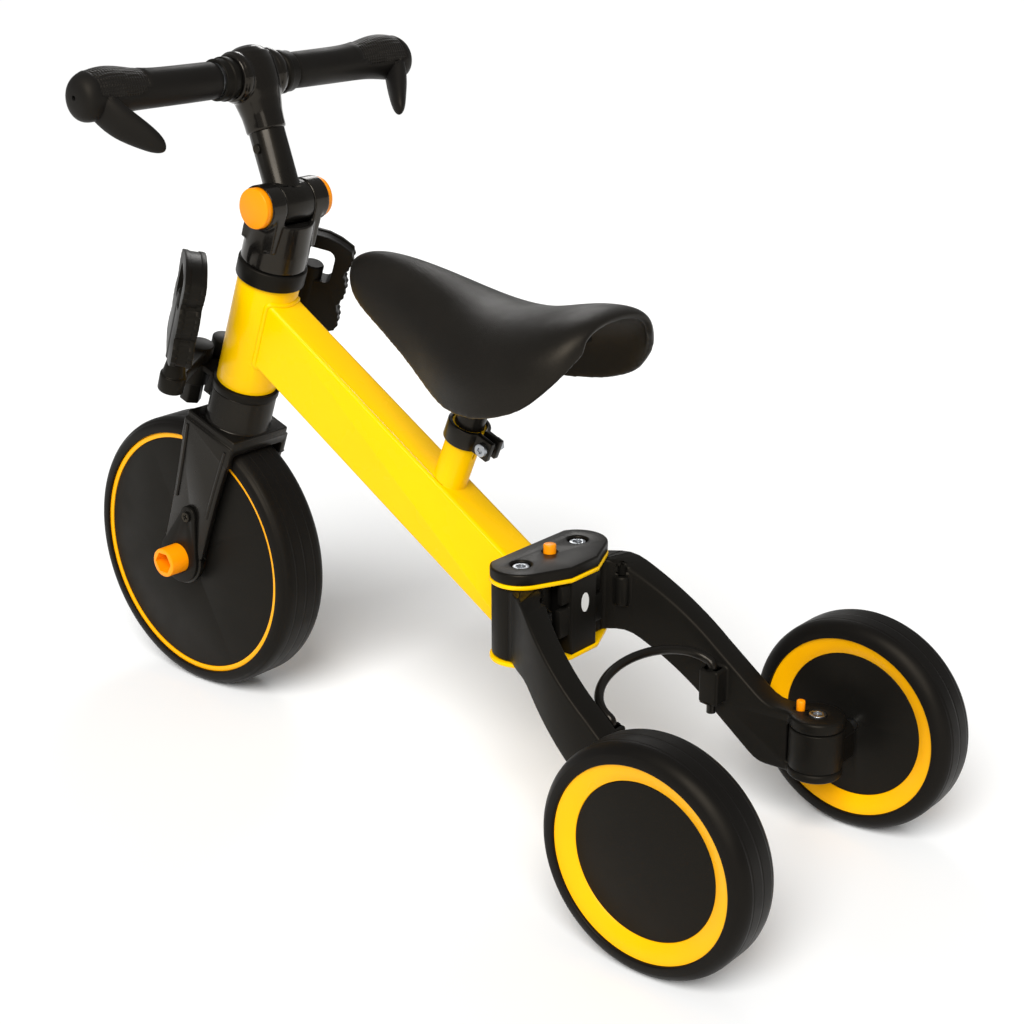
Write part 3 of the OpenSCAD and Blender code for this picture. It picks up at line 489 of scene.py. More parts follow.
@dataclass(frozen=True)
class Finish:
    """One finish: what a surface is made of and how it takes the light.

    Attributes:
        name: the material's name.
        slot: the record's slot it belongs to; not used.
        colour: its sRGB colour.
        shade: the colour it drifts to in slow patches.
        roughness: its mean roughness.
        metallic: 1 for bare metal.
        ior: its index of refraction.
        coat: the weight of a clear coat.
        shine: how strongly it mirrors its surroundings, where 0.5 is a clean smooth surface.
        glint: the colour of what it mirrors.
        grain: the size of its relief in millimetres.
        depth: the height of its relief in millimetres.
        relief: the kind of its relief.
    """

    name: str
    slot: str
    colour: str
    shade: str
    roughness: float
    metallic: float = 0.0
    ior: float = 1.5
    coat: float = 0.0
    shine: float = 0.5
    glint: str = "#FFEED4"
    grain: float = 0.5
    depth: float = 0.02
    relief: Relief = Relief.GRAIN

    def material(self) -> bpy.types.Material:
        """Returns the finish's material, made on its first use."""
        found = bpy.data.materials.get(self.name)
        if found:
            return found
        material = bpy.data.materials.new(self.name)
        material.use_nodes = True
        tree = material.node_tree
        tree.nodes.clear()
        place = add_node(tree, "TexCoord").outputs["Object"]
        patches = add_node(tree, "TexNoise", {"Scale": 1 / (38 * MM), "Detail": 3.0, "Roughness": 0.55},
                           {"Vector": place}).outputs["Fac"]
        tint = add_node(tree, "Mix", {"data_type": "RGBA"}, {0: patches})
        tint.inputs[6].default_value = linear(self.colour)
        tint.inputs[7].default_value = linear(self.shade)
        spread = 0.05 + 0.12 * self.roughness
        rough = add_node(tree, "MapRange", {"From Min": 0.3, "From Max": 0.7,
                                            "To Min": max(0.04, self.roughness - spread),
                                            "To Max": min(1.0, self.roughness + spread)},
                         {"Value": patches}).outputs["Result"]
        height = self.height(tree, place)
        bump = add_node(tree, "Bump", {"Strength": 1.0, "Distance": self.depth * MM}, {"Height": height})
        shader = add_node(tree, "BsdfPrincipled",
                          {"Metallic": self.metallic, "IOR": self.ior, "Coat Weight": self.coat,
                           "Specular IOR Level": self.shine, "Coat Roughness": 0.08,
                           "Specular Tint": linear(self.glint)},
                          {"Base Color": tint.outputs[2], "Roughness": rough,
                           "Normal": bump.outputs["Normal"]})
        add_node(tree, "OutputMaterial", {}, {"Surface": shader.outputs["BSDF"]})
        return material

    def height(self, tree: bpy.types.NodeTree, place: Any) -> Any:
        """Builds the nodes of the finish's relief.

        Args:
            tree: the node tree they go in.
            place: the socket with the surface's place.

        Returns:
            The socket with the relief's height.
        """
        scale = 1 / (self.grain * MM)
        grain = add_node(tree, "TexNoise", {"Scale": scale, "Detail": 2.0}, {"Vector": place})
        if self.relief is Relief.HIDE:
            cells = add_node(tree, "TexVoronoi", {"Scale": scale, "feature": "DISTANCE_TO_EDGE"},
                             {"Vector": place})
            return add_node(tree, "MapRange", {"From Max": 0.16}, {"Value": cells.outputs["Distance"]}
                            ).outputs["Result"]
        if self.relief is Relief.TREAD:
            rings = add_node(tree, "TexWave", {"bands_direction": "Y", "Scale": scale * WAVE_UNIT},
                             {"Vector": place})
            grooves = add_node(tree, "MapRange", {"From Min": 0.0, "From Max": 0.12},
                               {"Value": rings.outputs["Fac"]})
            return add_node(tree, "Math", {"operation": "MULTIPLY_ADD", 1: 0.12},
                            {0: grain.outputs["Fac"], 2: grooves.outputs["Result"]}).outputs["Value"]
        if self.relief is Relief.STUDS:
            cells = add_node(tree, "TexVoronoi", {"Scale": scale, "Randomness": 0.1}, {"Vector": place})
            return add_node(tree, "MapRange", {"From Min": 0.6, "From Max": 0.25},
                            {"Value": cells.outputs["Distance"]}).outputs["Result"]
        return grain.outputs["Fac"]


# Powder-coated steel tube: thick gloss colour with a faint orange peel
TUBE_YELLOW = Finish("YellowPowderCoat", "yellow_paint", "#FFCA00", "#FFC400", 0.28, coat=0.06,
                     shine=0.12, grain=1.6, depth=0.02)
# Powder-coated steel rod and tube: satin black with a fine peel
ROD_BLACK = Finish("BlackPowderCoat", "black_paint", "#0E0D0C", "#12110F", 0.32, coat=0.1,
                   shine=0.2, grain=0.9, depth=0.02)
# Injection-moulded nylon with a spark-eroded texture: dull highlights broken up by fine grain
MOULDED_BLACK = Finish("TexturedBlackNylon", "black_plastic", "#11100E", "#151412", 0.42,
                       shine=0.1, grain=0.7, depth=0.05)
# Polished black ABS: clear reflections
POLISHED_BLACK = Finish("PolishedBlackAbs", "glossy_black_plastic", "#0C0B0A", "#100F0E", 0.2,
                        coat=0.15, shine=0.3, grain=2.5, depth=0.01)
# Moulded black ABS with a satin skin: broad soft reflections
SATIN_BLACK = Finish("SatinBlackAbs", "glossy_black_plastic", "#100F0E", "#141311", 0.38,
                     shine=0.12, grain=1.2, depth=0.02)
# Moulded orange ABS: soft gloss
CAP_ORANGE = Finish("OrangeAbs", "orange_plastic", "#FF9A00", "#FF9200", 0.34, shine=0.3,
                    grain=0.8, depth=0.02)
# Moulded amber ABS: the deeper yellow of the front wheel's ring
BAND_AMBER = Finish("AmberAbs", "orange_plastic", "#FFB000", "#FFAA00", 0.36, shine=0.25,
                    grain=0.8, depth=0.02)
# Moulded yellow polypropylene: soft gloss with a waxy look
RIM_YELLOW = Finish("YellowPolypropylene", "yellow_plastic", "#FFB800", "#FFB200", 0.36,
                    shine=0.25, grain=0.8, depth=0.02)
# Closed-cell EVA foam: a dull skin with a fine even grain
TYRE_BLACK = Finish("BlackEvaFoam", "tyre_foam", "#0F0E0D", "#131211", 0.55, shine=0.1,
                    grain=0.9, depth=0.04)
# The same foam where the tread is moulded in rings round the tyre: the light breaks into bands
TREAD_BLACK = Finish("RingedEvaFoam", "tyre_foam", "#0F0E0D", "#131211", 0.46, shine=0.1,
                     grain=9.0, depth=0.22, relief=Relief.TREAD)
# Soft thermoplastic rubber: dull, with hardly any gloss
GRIP_BLACK = Finish("SoftGripRubber", "grip_rubber", "#141312", "#181716", 0.5, shine=0.12,
                    grain=0.6, depth=0.03)
# The same rubber where it is moulded into small studs: the highlights break up into dots
PALM_BLACK = Finish("StuddedGripRubber", "grip_rubber", "#141312", "#181716", 0.44, shine=0.2, grain=2.1,
                    depth=0.5, relief=Relief.STUDS)
# Coated leather cloth over foam: a satin sheen and a fine hide grain
SADDLE_BLACK = Finish("CoatedLeatherCloth", "saddle_leather", "#151412", "#1A1816", 0.42,
                      shine=0.16, grain=1.1, depth=0.03, relief=Relief.HIDE)
# Zinc-plated steel: bright and slightly brushed
ZINC = Finish("ZincPlatedSteel", "steel", "#B4B7BB", "#9FA2A6", 0.3, metallic=1.0,
              glint="#FFFFFF", grain=0.5, depth=0.01)
# Black-oxide steel screw: dark with a dull metal glint
SCREW_BLACK = Finish("BlackOxideSteel", "steel", "#24221F", "#1B1A18", 0.4, metallic=0.7,
                     grain=0.5, depth=0.01)
# Acetal bush: milky white
BUSH_WHITE = Finish("WhiteAcetal", "bush_plastic", "#D8D4C8", "#CFCBBE", 0.45, grain=0.8, depth=0.02)
# Coated paper: the blank label
LABEL_WHITE = Finish("CoatedPaper", "bush_plastic", "#E9E9E6", "#E2E2DE", 0.4, grain=0.3, depth=0.005)

NODE_FINISH = {
    "black_paint": ROD_BLACK, "black_plastic": MOULDED_BLACK, "bush_plastic": BUSH_WHITE,
    "glossy_black_plastic": POLISHED_BLACK, "grip_rubber": GRIP_BLACK, "orange_plastic": CAP_ORANGE,
    "saddle_leather": SADDLE_BLACK, "steel": ZINC, "tyre_foam": TYRE_BLACK, "yellow_paint": TUBE_YELLOW,
    "yellow_plastic": RIM_YELLOW,
}


def dress(piece: bpy.types.Object, finish: Finish, body: str, replaces: Sequence[str] = (),
          smooth: float = SMOOTH_ANGLE) -> bpy.types.Object:
    """Gives a finished piece its material and ties it to its body.

    Args:
        piece: the piece, with its place in its mesh.
        finish: the finish it gets.
        body: the body it moves with.
        replaces: the nodes it stands for.
        smooth: the largest angle between faces that are shaded as one surface.

    Returns:
        The same piece.
    """
    activate(piece)
    bpy.ops.object.shade_smooth_by_angle(angle=smooth)
    piece.data.materials.clear()
    piece.data.materials.append(finish.material())
    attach(piece, body)
    if replaces:
        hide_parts(*replaces)
    LOG.info("%s: %d faces, on %s", piece.name, len(piece.data.polygons), body)
    return piece


def body_with(node: str) -> str:
    """Returns the name of the body that a node belongs to."""
    bodies = frame["record"]["behaviour"]["bodies"]
    return next(body for body, nodes in bodies.items() if node in nodes)


def slot_of(node: str) -> str:
    """Returns the name of the slot that a node's material comes from."""
    return next(s["material_slot"] for s in frame["record"]["subparts"] if s["node"] == node)


def eased(node: str, width: float, angle: float = 32.0, segments: int = 2,
          finish: Finish | None = None) -> bpy.types.Object:
    """Replaces a node by a copy of itself with eased edges, dressed in its slot's finish."""
    piece = eased_copy(node, node + "_shown", width, angle, segments)
    return dress(piece, finish or NODE_FINISH[slot_of(node)], body_with(node), [node])


# ---- sub-assemblies -----------------------------------------------------------------------------


@dataclass
class Saddle:
    """The padded saddle: a crowned shell with a rolled edge, open underneath."""

    tail_x: float = 110.5
    length: float = 212.5
    padding: float = 4.8
    ring_steps: int = 20
    # share of the length from the tail, half width, height of the top and of the rim
    stations: tuple[tuple[float, float, float, float], ...] = (
        (0.0, 32, 328.5, 312), (0.02, 41, 331, 304), (0.05, 48, 332, 295), (0.1, 54.5, 331.5, 284),
        (0.15, 58, 330, 277), (0.23, 60, 326, 271), (0.31, 59.5, 322.5, 268), (0.41, 54.5, 323, 267),
        (0.51, 45, 327.5, 272), (0.63, 34, 334.5, 283), (0.76, 26, 340, 295.5), (0.88, 19.5, 342, 306),
        (0.95, 14, 339, 313.5), (0.985, 7, 334, 321))

    def ring(self) -> list[tuple[float, float, float]]:
        """Returns one arch of unit size, from the left rim over the top to the right rim."""
        arch = []
        for step in range(self.ring_steps + 1):
            angle = math.pi * step / self.ring_steps
            across = math.copysign(abs(math.cos(angle)) ** 0.9, math.cos(angle))
            arch.append((0.0, across, math.sin(angle) ** 0.75 if 0 < step < self.ring_steps else 0.0))
        return arch

    def cover(self) -> None:
        """Models the cover as one shell with rounded lips."""
        places = [((self.tail_x + share * self.length + REAR_AXLE_X, 0, rim), (1, half, top - rim))
                  for share, half, top, rim in self.stations]
        piece = loft("saddle_pad", self.ring(), places)
        mend(piece)
        apply_modifier(piece, "SUBSURF", levels=2, render_levels=2, boundary_smooth="ALL")
        apply_modifier(piece, "SOLIDIFY", thickness=self.padding * MM, offset=-1.0)
        fused(piece, 1.2, 24)
        dress(piece, SADDLE_BLACK, "seat", ["saddle_cover"], math.pi)

    def base(self) -> None:
        """Trims the plate under the padding, so that it stays out of sight at the open tail."""
        piece = eased_copy("saddle_base", "saddle_base_shown", 0.6)
        tail = slab("base_trim", [(-60, -80), (38, -80), (38, 80), (-60, 80)], 200)
        settle(tail, Matrix.Translation(((self.tail_x + REAR_AXLE_X) * MM, 0, 200 * MM)))
        cut(piece, tail)
        dress(piece, MOULDED_BLACK, "seat", ["saddle_base"])

    def build(self) -> None:
        """Builds the saddle and what holds it."""
        self.cover()
        self.base()
        eased("seat_post", 0.6)
        eased("saddle_screws", 0.3)


@dataclass
class Tyre:
    """One foam tyre, turned about its axle."""

    node: str
    place: tuple[float, float, float]
    radius: float
    width: float
    bore: float
    shoulder: float

    def build(self) -> None:
        """Turns the tyre's section and puts it on its wheel."""
        half, edge = self.width / 2, self.shoulder
        crown = rounded([(self.bore, -half, 0.8), (self.radius, -half, edge), (self.radius, half, edge),
                         (self.bore, half, 0.8)], 8)
        piece = turned(self.node + "_shown", crown, closed=True, steps=160)
        settle(piece, wheel_frame(*self.place))
        dress(piece, TREAD_BLACK, body_with(self.node), [self.node], math.radians(60))


@dataclass
class Wheels:
    """The three wheels."""

    wheelbase: float = 477.0
    front_radius: float = 100.0
    rear_radius: float = 68.7
    half_track: float = 108.7

    def bands(self) -> None:
        """Turns the two slim rings at the edge of the front wheel's discs."""
        for side in Side:
            face = 18.4 if side is Side.LEFT else -18.4
            inner = face - math.copysign(1.4, face)
            outline = [(85.7, inner), (85.7, face), (86.1, face + math.copysign(0.25, face)),
                       (88.7, face + math.copysign(0.25, face)), (89.2, face), (89.2, inner)]
            ring = turned(f"front_band_{side.word}", outline, closed=True, steps=160)
            settle(ring, wheel_frame(self.wheelbase, 0, self.front_radius))
            dress(ring, BAND_AMBER, "front_wheel", ["front_bands"] if side is Side.LEFT else [])

    def socket(self, side: Side) -> None:
        """Turns one drive socket, sinks its six-sided hole and drills its small side hole.

        Args:
            side: the side it stands on.
        """
        piece = turned(f"drive_socket_{side.word}_shown", [
            (0, 18.05), (13.5, 18.05), (13.5, 20.0), (13.1, 20.4), (10.5, 20.4), (10.5, 43.0), (10.2, 43.7),
            (9.5, 44.0), (0, 44.0)], steps=64)
        corners = [(8.0 * math.cos(FULL_TURN * k / 6), 8.0 * math.sin(FULL_TURN * k / 6), 1.2)
                   for k in range(6)]
        hole = slab("socket_hole", rounded(corners), 30)
        settle(hole, Matrix.Translation((0, 0, 24 * MM)))
        cut(piece, hole)
        drill = rod("socket_drill", 1.1, 7, 14)
        settle(drill, Matrix.Translation((0, 0, 34 * MM)) @ Matrix.Rotation(math.radians(125), 4, "Z")
               @ Matrix.Rotation(math.pi / 2, 4, "Y"))
        cut(piece, drill)
        if side is Side.RIGHT:
            settle(piece, Matrix.Diagonal((1, 1, -1, 1)))
            mend(piece)
        settle(piece, wheel_frame(self.wheelbase, 0, self.front_radius))
        dress(piece, CAP_ORANGE, "front_wheel", ["drive_socket_" + side.word])

    def front(self) -> None:
        """Builds the driven front wheel."""
        Tyre("front_tyre", (self.wheelbase, 0, self.front_radius), 99.9, 41, 89.3, 8.5).build()
        eased("front_wheel_core", 0.5)
        self.bands()
        for side in Side:
            self.socket(side)

    def rear(self) -> None:
        """Builds the two rear wheels."""
        for side in Side:
            place = (0, side.value * self.half_track, self.rear_radius)
            Tyre("tyre_" + side.word, place, 68.6, 34.6, 57.8, 9.5).build()
            eased("rim_" + side.word, 0.5)
            eased("hub_" + side.word, 0.6)

    def build(self) -> None:
        """Builds all the wheels."""
        self.front()
        self.rear()


@dataclass
class Grip:
    """One soft grip: a sleeve, a palm swell and a finger hook."""

    side: Side
    start: float = 31.9
    bar_up: float = 83.6

    def build(self) -> None:
        """Lofts the sleeve and the hook and fuses them."""
        s = self.side.value
        circle = [(math.cos(FULL_TURN * k / 24), 0.0, math.sin(FULL_TURN * k / 24)) for k in range(25)]
        sleeve = loft("grip_sleeve", circle, [
            ((0, s * y, z), (rx, 1, rz)) for y, rx, rz, z in (
                (self.start, 11.6, 11.6, 0), (self.start + 1, 12.1, 12.1, 0), (78, 12.1, 12.1, 0),
                (92, 12.6, 12.6, 0.6), (104, 13.6, 14.0, 1.8), (116, 14.8, 15.6, 2.2),
                (127, 15.2, 16.0, 0.9), (135, 14.6, 15.2, -0.5), (139.5, 12.4, 12.8, -1.2),
                (141.6, 8.6, 8.8, -1.4), (142.2, 3.0, 3.0, -1.4))])
        hook = loft("grip_hook", circle, [
            ((x, s * y, z), (rx, 1, rz)) for x, y, z, rx, rz in (
                (-1, 133, 0, 7, 10), (-3, 130, -5, 10, 13), (-6, 125, -12, 10.5, 14.5),
                (-9, 120, -19, 9.6, 12.8), (-13, 114, -26, 8.4, 11), (-17, 108.5, -32.5, 7, 9),
                (-19.5, 104.5, -36.5, 5, 6.2), (-20.5, 102.5, -38.5, 2.6, 3.2))])
        for part in (sleeve, hook):
            open_mesh(part)
            bpy.ops.mesh.remove_doubles(threshold=1e-6)
            bpy.ops.mesh.select_all(action="DESELECT")
            bpy.ops.mesh.select_non_manifold()
            bpy.ops.mesh.edge_face_add()
            close_mesh()
            open_mesh(part)
            bpy.ops.mesh.normals_make_consistent(inside=False)
            close_mesh()
            apply_modifier(part, "SUBSURF", levels=2, render_levels=2)
        cut(sleeve, hook, "UNION")
        hole = rod("grip_end_hole", 1.6, 138, 150)
        settle(hole, Matrix.Rotation(-s * math.pi / 2, 4, "X"))
        cut(sleeve, hole)
        piece = joined("grip_" + self.side.word + "_shown", [sleeve])
        panel = [face.index for face in piece.data.polygons if self.in_panel(face.center)]
        self.sink(piece, panel)
        settle(piece, riser_frame(self.bar_up))
        dress(piece, GRIP_BLACK, "handlebar", ["grip_" + self.side.word], math.radians(50))
        piece.data.materials.append(PALM_BLACK.material())
        for index in panel:
            piece.data.polygons[index].material_index = 1
        LOG.info("%s: %d studded faces", piece.name, len(panel))

    def in_panel(self, centre: Vector) -> bool:
        """Tells whether a place on the grip lies in the panel on the rear and top of the palm."""
        x, y, z = (value / MM for value in centre)
        along = abs(y) - 112
        return 0.6 * z - 0.8 * x > 3.0 + 0.016 * along ** 2 and abs(along) < 20 and z > -6

    def sink(self, piece: bpy.types.Object, panel: Sequence[int]) -> None:
        """Sinks the studded panel a little below the smooth rubber round it.

        Args:
            piece: the grip.
            panel: the numbers of the panel's faces.
        """
        activate(piece)
        bpy.ops.object.mode_set(mode="EDIT")
        bpy.ops.mesh.select_mode(type="FACE")
        bpy.ops.mesh.select_all(action="DESELECT")
        bpy.ops.object.mode_set(mode="OBJECT")
        for index in panel:
            piece.data.polygons[index].select = True
        bpy.ops.object.mode_set(mode="EDIT")
        bpy.ops.mesh.inset(thickness=0.7 * MM, depth=-0.5 * MM)
        bpy.ops.object.mode_set(mode="OBJECT")


@dataclass
class Handlebar:
    """The tilting handlebar."""

    bar_up: float = 83.6
    head_bottom: float = 47.0

    def head(self) -> None:
        """Models the moulded head: a waist over the riser that swells to a globe about the bar."""
        up = self.bar_up
        body = turned("stem_head_shown", [
            (0, self.head_bottom), (12.4, self.head_bottom), (13.1, self.head_bottom + 0.8),
            (13.1, 52), (13.5, 58), (15, 66), (16.6, 73), (17.6, 80), (17.7, 85), (16.8, 91), (14.5, 96.5),
            (11, 100.2), (6, 102.3), (0, 102.8)])
        sleeve = rod("head_sleeve", 15.3, -19.2, 19.2)
        settle(sleeve, Matrix.Translation((0, 0, up * MM)) @ Matrix.Rotation(math.pi / 2, 4, "X"))
        rims = []
        for side in Side:
            rim = rod("head_rim", 16.6, 12.4, 16.8)
            settle(rim, Matrix.Translation((0, 0, up * MM))
                   @ Matrix.Rotation(-side.value * math.pi / 2, 4, "X"))
            rims.append(rim)
        piece = joined("stem_head_shown", [body, sleeve, *rims])
        fused(piece, 0.7, 14)
        settle(piece, riser_frame())
        dress(piece, POLISHED_BLACK, "handlebar", ["stem_head"], math.pi)

    def build(self) -> None:
        """Builds the riser, the head, the bar and the grips."""
        eased("riser", 0.5)
        eased("riser_screws", 0.2, finish=SCREW_BLACK)
        self.head()
        eased("handlebar_tube", 0.4)
        for side in Side:
            eased("grip_collar_" + side.word, 0.5)
            Grip(side).build()


@dataclass
class Pedal:
    """One stowed pedal: a barrel in a cage with toothed edges."""

    side: Side
    spindle: tuple[float, float] = (14.06, 56.03)
    foot: float = 23.4
    length: float = 74.0
    half_width: float = 21.5
    lobe: float = 4.6
    tooth: float = 0.5
    thickness: float = 14.0
    turn: float = 142.0

    def outline(self, inset: float, tooth: float) -> list[tuple[float, float]]:
        """Returns the cage's outline, wavy and toothed along both long edges.

        Args:
            inset: how far it lies inside the widest outline, in millimetres.
            tooth: half the height of a tooth in millimetres.
        """
        steps = 34
        edge = []
        for step in range(steps + 1):
            share = step / steps
            wave = self.lobe * abs(math.sin(3 * math.pi * share)) ** 0.8
            ends = 15.0 * (max(0.0, abs(2 * share - 1) - 0.76) / 0.24) ** 2
            bite = tooth if step % 2 else -tooth
            edge.append((self.half_width + wave - ends - inset + bite,
                         inset + share * (self.length - 2 * inset)))
        return edge + [(-x, y) for x, y in reversed(edge)]

    def build(self) -> None:
        """Models the cage as three layers, opens its window and adds the barrel."""
        plate = 3.6
        core = slab("pedal_core", self.outline(0.5, 0.0), self.thickness - 2 * plate + 0.4)
        settle(core, Matrix.Translation((0, 0, (plate - 0.2) * MM)))
        layers = [core]
        for low in (0.0, self.thickness - plate):
            layer = slab("pedal_layer", self.outline(0.0, self.tooth), plate)
            settle(layer, Matrix.Translation((0, 0, low * MM)))
            apply_modifier(layer, "BEVEL", width=0.35 * MM, segments=2, limit_method="ANGLE",
                           angle_limit=math.radians(60))
            layers.append(layer)
        piece = layers[0]
        for layer in layers[1:]:
            cut(piece, layer, "UNION")
        window = slab("pedal_window", rounded([(-14, 41, 4), (14, 41, 4), (14, 65, 6), (-14, 65, 6)]),
                      self.thickness + 4)
        settle(window, Matrix.Translation((0, 0, -2 * MM)))
        cut(piece, window)
        upright = Matrix.Translation((0, self.thickness / 2 * MM, 0)) @ Matrix.Rotation(math.pi / 2, 4, "X")
        settle(piece, upright)
        barrel = turned("pedal_barrel", [
            (4.2, -0.6), (7.0, -0.6), (7.6, 0), (7.6, 49), (6.6, 50.2), (0, 50.2), (0, 47), (4.2, 47)],
                        closed=False)
        piece = joined("pedal_" + self.side.word + "_shown", [piece, barrel])
        place = Matrix.Translation((self.spindle[0] * MM, self.spindle[1] * MM, self.foot * MM))
        settle(piece, place @ Matrix.Rotation(math.radians(self.turn), 4, "Z"))
        if self.side is Side.RIGHT:
            settle(piece, Matrix.Diagonal((1, -1, 1, 1)))
            mend(piece)
        settle(piece, head_frame())
        dress(piece, MOULDED_BLACK, "pedal_" + self.side.word, ["pedal_" + self.side.word])


@dataclass
class Steering:
    """The fork and everything that turns with it."""

    leg_face: float = 27.4
    recess_radius: float = 13.65
    recess_floor: float = 20.0

    def ribs(self) -> None:
        """Adds the raised edges that run down the outside of each fork leg."""
        for side in Side:
            for edge in (-1, 1):
                line = []
                for step in range(13):
                    share = step / 12
                    up = 44 + share * 58
                    reach = 15.2 + 4.6 * (up / 103) ** 2
                    line.append((edge * reach, side.value * self.leg_face, up - FORK_LENGTH))
                rib = drawn_rod(f"fork_rib_{side.word}_{'rear' if edge < 0 else 'front'}", line, 1.25)
                settle(rib, head_frame())
                dress(rib, ROD_BLACK, "steering")

    def base(self) -> None:
        """Softens the moulded stem base, so that its ears flow into its neck."""
        piece = eased_copy("stem_base", "stem_base_shown", 0.0)
        fused(piece, 0.7, 12)
        for side in Side:
            recess = rod("button_recess", self.recess_radius, self.recess_floor, 40)
            settle(recess, head_frame(HINGE_UP) @ Matrix.Rotation(-side.value * math.pi / 2, 4, "X"))
            cut(piece, recess)
        dress(piece, POLISHED_BLACK, "steering", ["stem_base"], math.pi)

    def build(self) -> None:
        """Builds the fork, the pedal holder and the stem's base."""
        eased("fork", 1.2)
        self.ribs()
        eased("pedal_holder", 0.6)
        self.base()
        eased("steerer_tube", 0.3)
        eased("hinge_pin", 0.2)
        eased("cover_screws", 0.15, finish=SCREW_BLACK)
        for side in Side:
            eased("hub_cover_" + side.word, 0.5)
            eased("hinge_button_" + side.word, 0.8)
            eased("crank_" + side.word, 0.8)
            Pedal(side).build()


@dataclass
class Chassis:
    """The frame, the housing and the arms."""

    def build(self) -> None:
        """Builds the welded frame and what is fixed to it."""
        eased("main_frame", 0.5)
        eased("head_bushes", 0.2)
        eased("headset_cup", 0.8)
        eased("seat_clamp", 0.6)
        eased("clamp_bolt", 0.3)
        eased("clamp_nut", 0.3)
        eased("housing_block", 0.6)
        eased("housing_cap", 1.4, segments=3, finish=SATIN_BLACK)
        eased("lock_button", 0.8)
        for side in Side:
            eased("pivot_bolt_" + side.word, 0.3)
            eased("arm_" + side.word, 2.0, segments=3)
            eased("bracket_bolt_" + side.word, 0.3)
            eased("latch_button_" + side.word, 0.8)
            eased("bracket_" + side.word, 0.6)
            eased("axle_" + side.word, 0.3)
        frame["nodes"]["lock_spring"].data.materials.clear()
        frame["nodes"]["lock_spring"].data.materials.append(ZINC.material())
        self.weld()
        self.label()
        self.brace()

    def weld(self) -> None:
        """Lays the weld bead where the main tube meets the head tube."""
        half_width, half_height, corner, spacing = 14.0, 23.5, 3.0, 3.0
        lean = math.radians(32)
        outline = rounded([(-half_width, -half_height, corner), (half_width, -half_height, corner),
                           (half_width, half_height, corner), (-half_width, half_height, corner)])
        dense = []
        for index, here in enumerate(outline):
            there = outline[(index + 1) % len(outline)]
            gap = math.dist(here, there)
            count = max(1, round(gap / spacing))
            step = ((there[0] - here[0]) / count, (there[1] - here[1]) / count)
            dense += [(here[0] + step[0] * k, here[1] + step[1] * k) for k in range(count)]
        # the tube's own axes, seen in the head's frame: back along the tube, and across its height
        back = (-math.cos(lean - HEAD_LEAN), -math.sin(lean - HEAD_LEAN))
        rise = (-math.sin(lean - HEAD_LEAN), math.cos(lean - HEAD_LEAN))
        line = []
        for across, high in dense:
            reach = math.sqrt(21.0 ** 2 - across ** 2)
            along = (-reach - rise[0] * high) / back[0]
            line.append((-reach, across, 50.6 + along * back[1] + rise[1] * high))
        bead = drawn_rod("head_weld", line, 1.9, closed=True)
        settle(bead, head_frame())
        dress(bead, TUBE_YELLOW, "frame", smooth=math.pi)

    def label(self) -> None:
        """Sticks the blank oval label on the housing's rear face."""
        oval = [(3.6 * math.cos(FULL_TURN * k / 48), 6.2 * math.sin(FULL_TURN * k / 48)) for k in range(48)]
        piece = slab("blank_label", oval, 0.25)
        turn = Matrix.Rotation(-math.pi / 2, 4, "Y") @ Matrix.Rotation(math.pi / 2, 4, "Z")
        settle(piece, Matrix.Translation(from_axle(134.02, -1.0, 146)) @ turn)
        dress(piece, LABEL_WHITE, "frame")

    def brace(self) -> None:
        """Bends the wire between the arms."""
        half = [(73.0, 51.5, 72.0), (73.0, 51.5, 88.0), (73.0, 51.5, 102.5)]
        radius, sweep = 4.0, math.radians(66)
        for step in range(1, 8):
            angle = sweep * step / 7
            half.append((73 + radius * (1 - math.cos(angle)), 51.5, 102.5 + radius * math.sin(angle)))
        foot = half[-1]
        bow = []
        for step in range(1, 48):
            angle = math.pi * step / 48
            out = 25 * math.sin(angle)
            bow.append((foot[0] + out, 51.5 * math.cos(angle), foot[2] + out / math.tan(sweep)))
        line = half + bow + [(x, -y, z) for x, y, z in reversed(half)]
        wire = drawn_rod("brace_wire_shown", line, 2.9)
        settle(wire, Matrix.Translation(from_axle(0, 0, 0)))
        dress(wire, ROD_BLACK, "frame", ["brace_wire"], math.radians(60))
        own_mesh(wire)


# ---- studio -------------------------------------------------------------------------------------


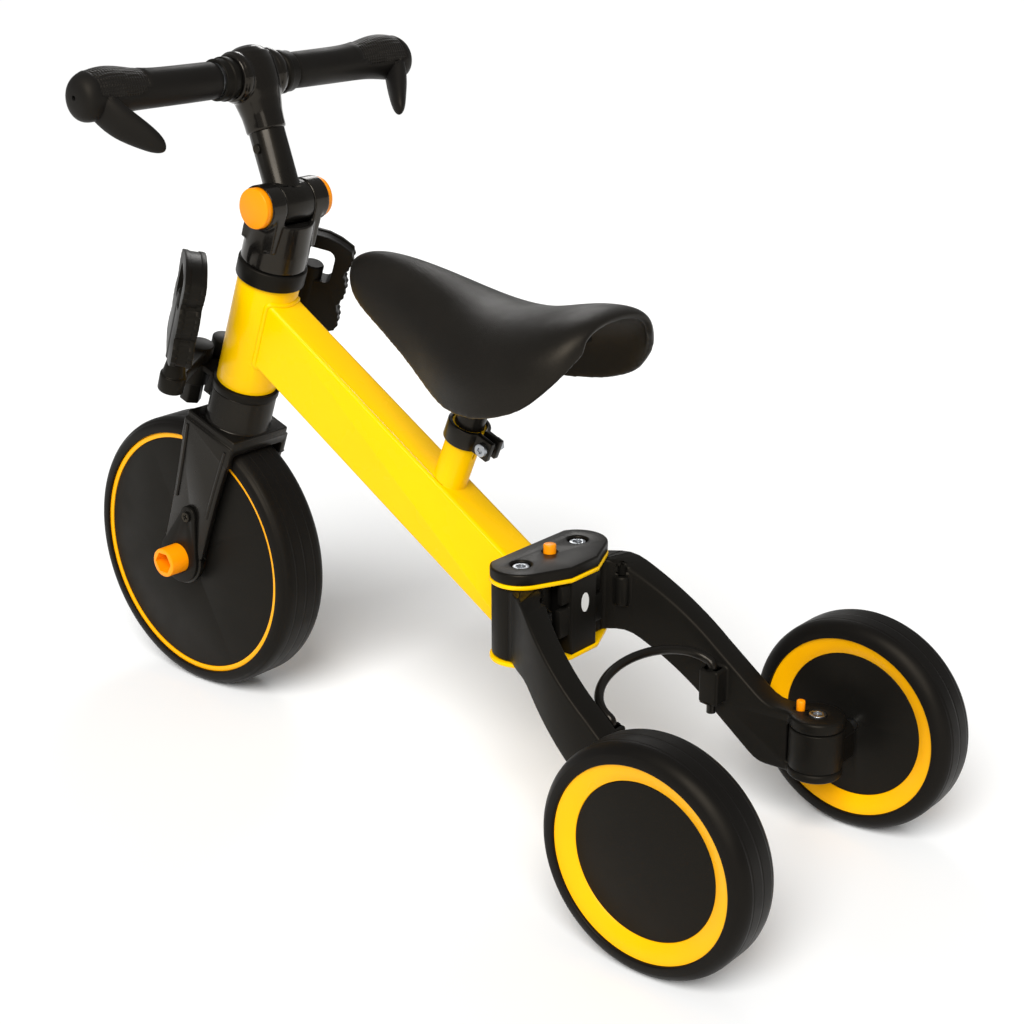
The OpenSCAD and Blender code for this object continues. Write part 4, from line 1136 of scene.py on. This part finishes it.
@dataclass
class Studio:
    """The floor, the lights and the camera."""

    camera_place: tuple[float, float, float] = (-523.5, 855.6, 591.1)
    heading: float = 219.87
    height_angle: float = 19.716
    roll: float = -0.09
    lens: float = 67.18

    def camera(self) -> None:
        """Adds the camera."""
        turn, lift = math.radians(self.heading), math.radians(self.height_angle)
        back = Vector((math.sin(turn) * math.cos(lift), -math.cos(turn) * math.cos(lift), math.sin(lift)))
        right = Vector((math.cos(turn), math.sin(turn), 0.0))
        up = right.cross(-back)
        data = bpy.data.cameras.new("Camera")
        data.lens = self.lens
        data.sensor_width = 36.0
        data.clip_start = 0.02
        camera = bpy.data.objects.new("Camera", data)
        bpy.context.scene.collection.objects.link(camera)
        rotation = Matrix((right, up, back)).transposed().to_4x4()
        rotation = rotation @ Matrix.Rotation(math.radians(self.roll), 4, "Z")
        camera.matrix_world = Matrix.Translation(from_axle(*self.camera_place)) @ rotation
        bpy.context.scene.camera = camera

    def light(self, name: str, place: tuple[float, float, float], size: float, power: float) -> None:
        """Adds one soft box that faces the tricycle.

        Args:
            name: the light's name.
            place: where it stands, in metres.
            size: its width in metres.
            power: its power in watts.
        """
        data = bpy.data.lights.new(name, "AREA")
        data.shape = "SQUARE"
        data.size = size
        data.energy = power
        lamp = bpy.data.objects.new(name, data)
        lamp.location = place
        target = Vector((0, 0, 0.2)) - Vector(place)
        lamp.rotation_euler = target.to_track_quat("-Z", "Y").to_euler()
        bpy.context.scene.collection.objects.link(lamp)

    def sun(self) -> None:
        """Adds the broad key light, which falls from the left and behind."""
        data = bpy.data.lights.new("KeySun", "SUN")
        data.energy = 3.5
        data.angle = math.radians(38)
        lamp = bpy.data.objects.new("KeySun", data)
        lamp.rotation_euler = Vector((0.42, -0.8, -0.85)).to_track_quat("-Z", "Y").to_euler()
        bpy.context.scene.collection.objects.link(lamp)

    def floor(self) -> None:
        """Adds the pale floor."""
        clear_selection()
        bpy.ops.mesh.primitive_plane_add(size=60)
        floor = bpy.context.object
        floor.name = "StudioFloor"
        material = bpy.data.materials.new("PalePaper")
        material.use_nodes = True
        shader = material.node_tree.nodes["Principled BSDF"]
        shader.inputs["Base Color"].default_value = linear("#FAFAF9")
        shader.inputs["Roughness"].default_value = 0.95
        shader.inputs["Specular IOR Level"].default_value = 0.0
        floor.data.materials.append(material)

    def build(self) -> None:
        """Builds the whole studio."""
        self.floor()
        self.camera()
        self.sun()
        self.light("SideBox", (-1.5, 1.5, 0.9), 0.7, 3)
        self.light("RimBox", (1.2, -1.4, 1.3), 0.6, 6)
        world = bpy.data.worlds.new("StudioWorld")
        world.use_nodes = True
        background = world.node_tree.nodes["Background"]
        background.inputs["Color"].default_value = linear("#FFFFFF")
        background.inputs["Strength"].default_value = 0.3
        bpy.context.scene.world = world
        bpy.context.scene.view_settings.view_transform = "Standard"


def main() -> None:
    """Builds the tricycle and its studio."""
    logging.basicConfig(level=logging.INFO, format="%(name)s %(message)s")
    for assembly in (Chassis(), Saddle(), Steering(), Handlebar(), Wheels(), Studio()):
        assembly.build()
        LOG.info("%s done", type(assembly).__name__)
    clear_selection()


if __name__ == "__main__":
    main()
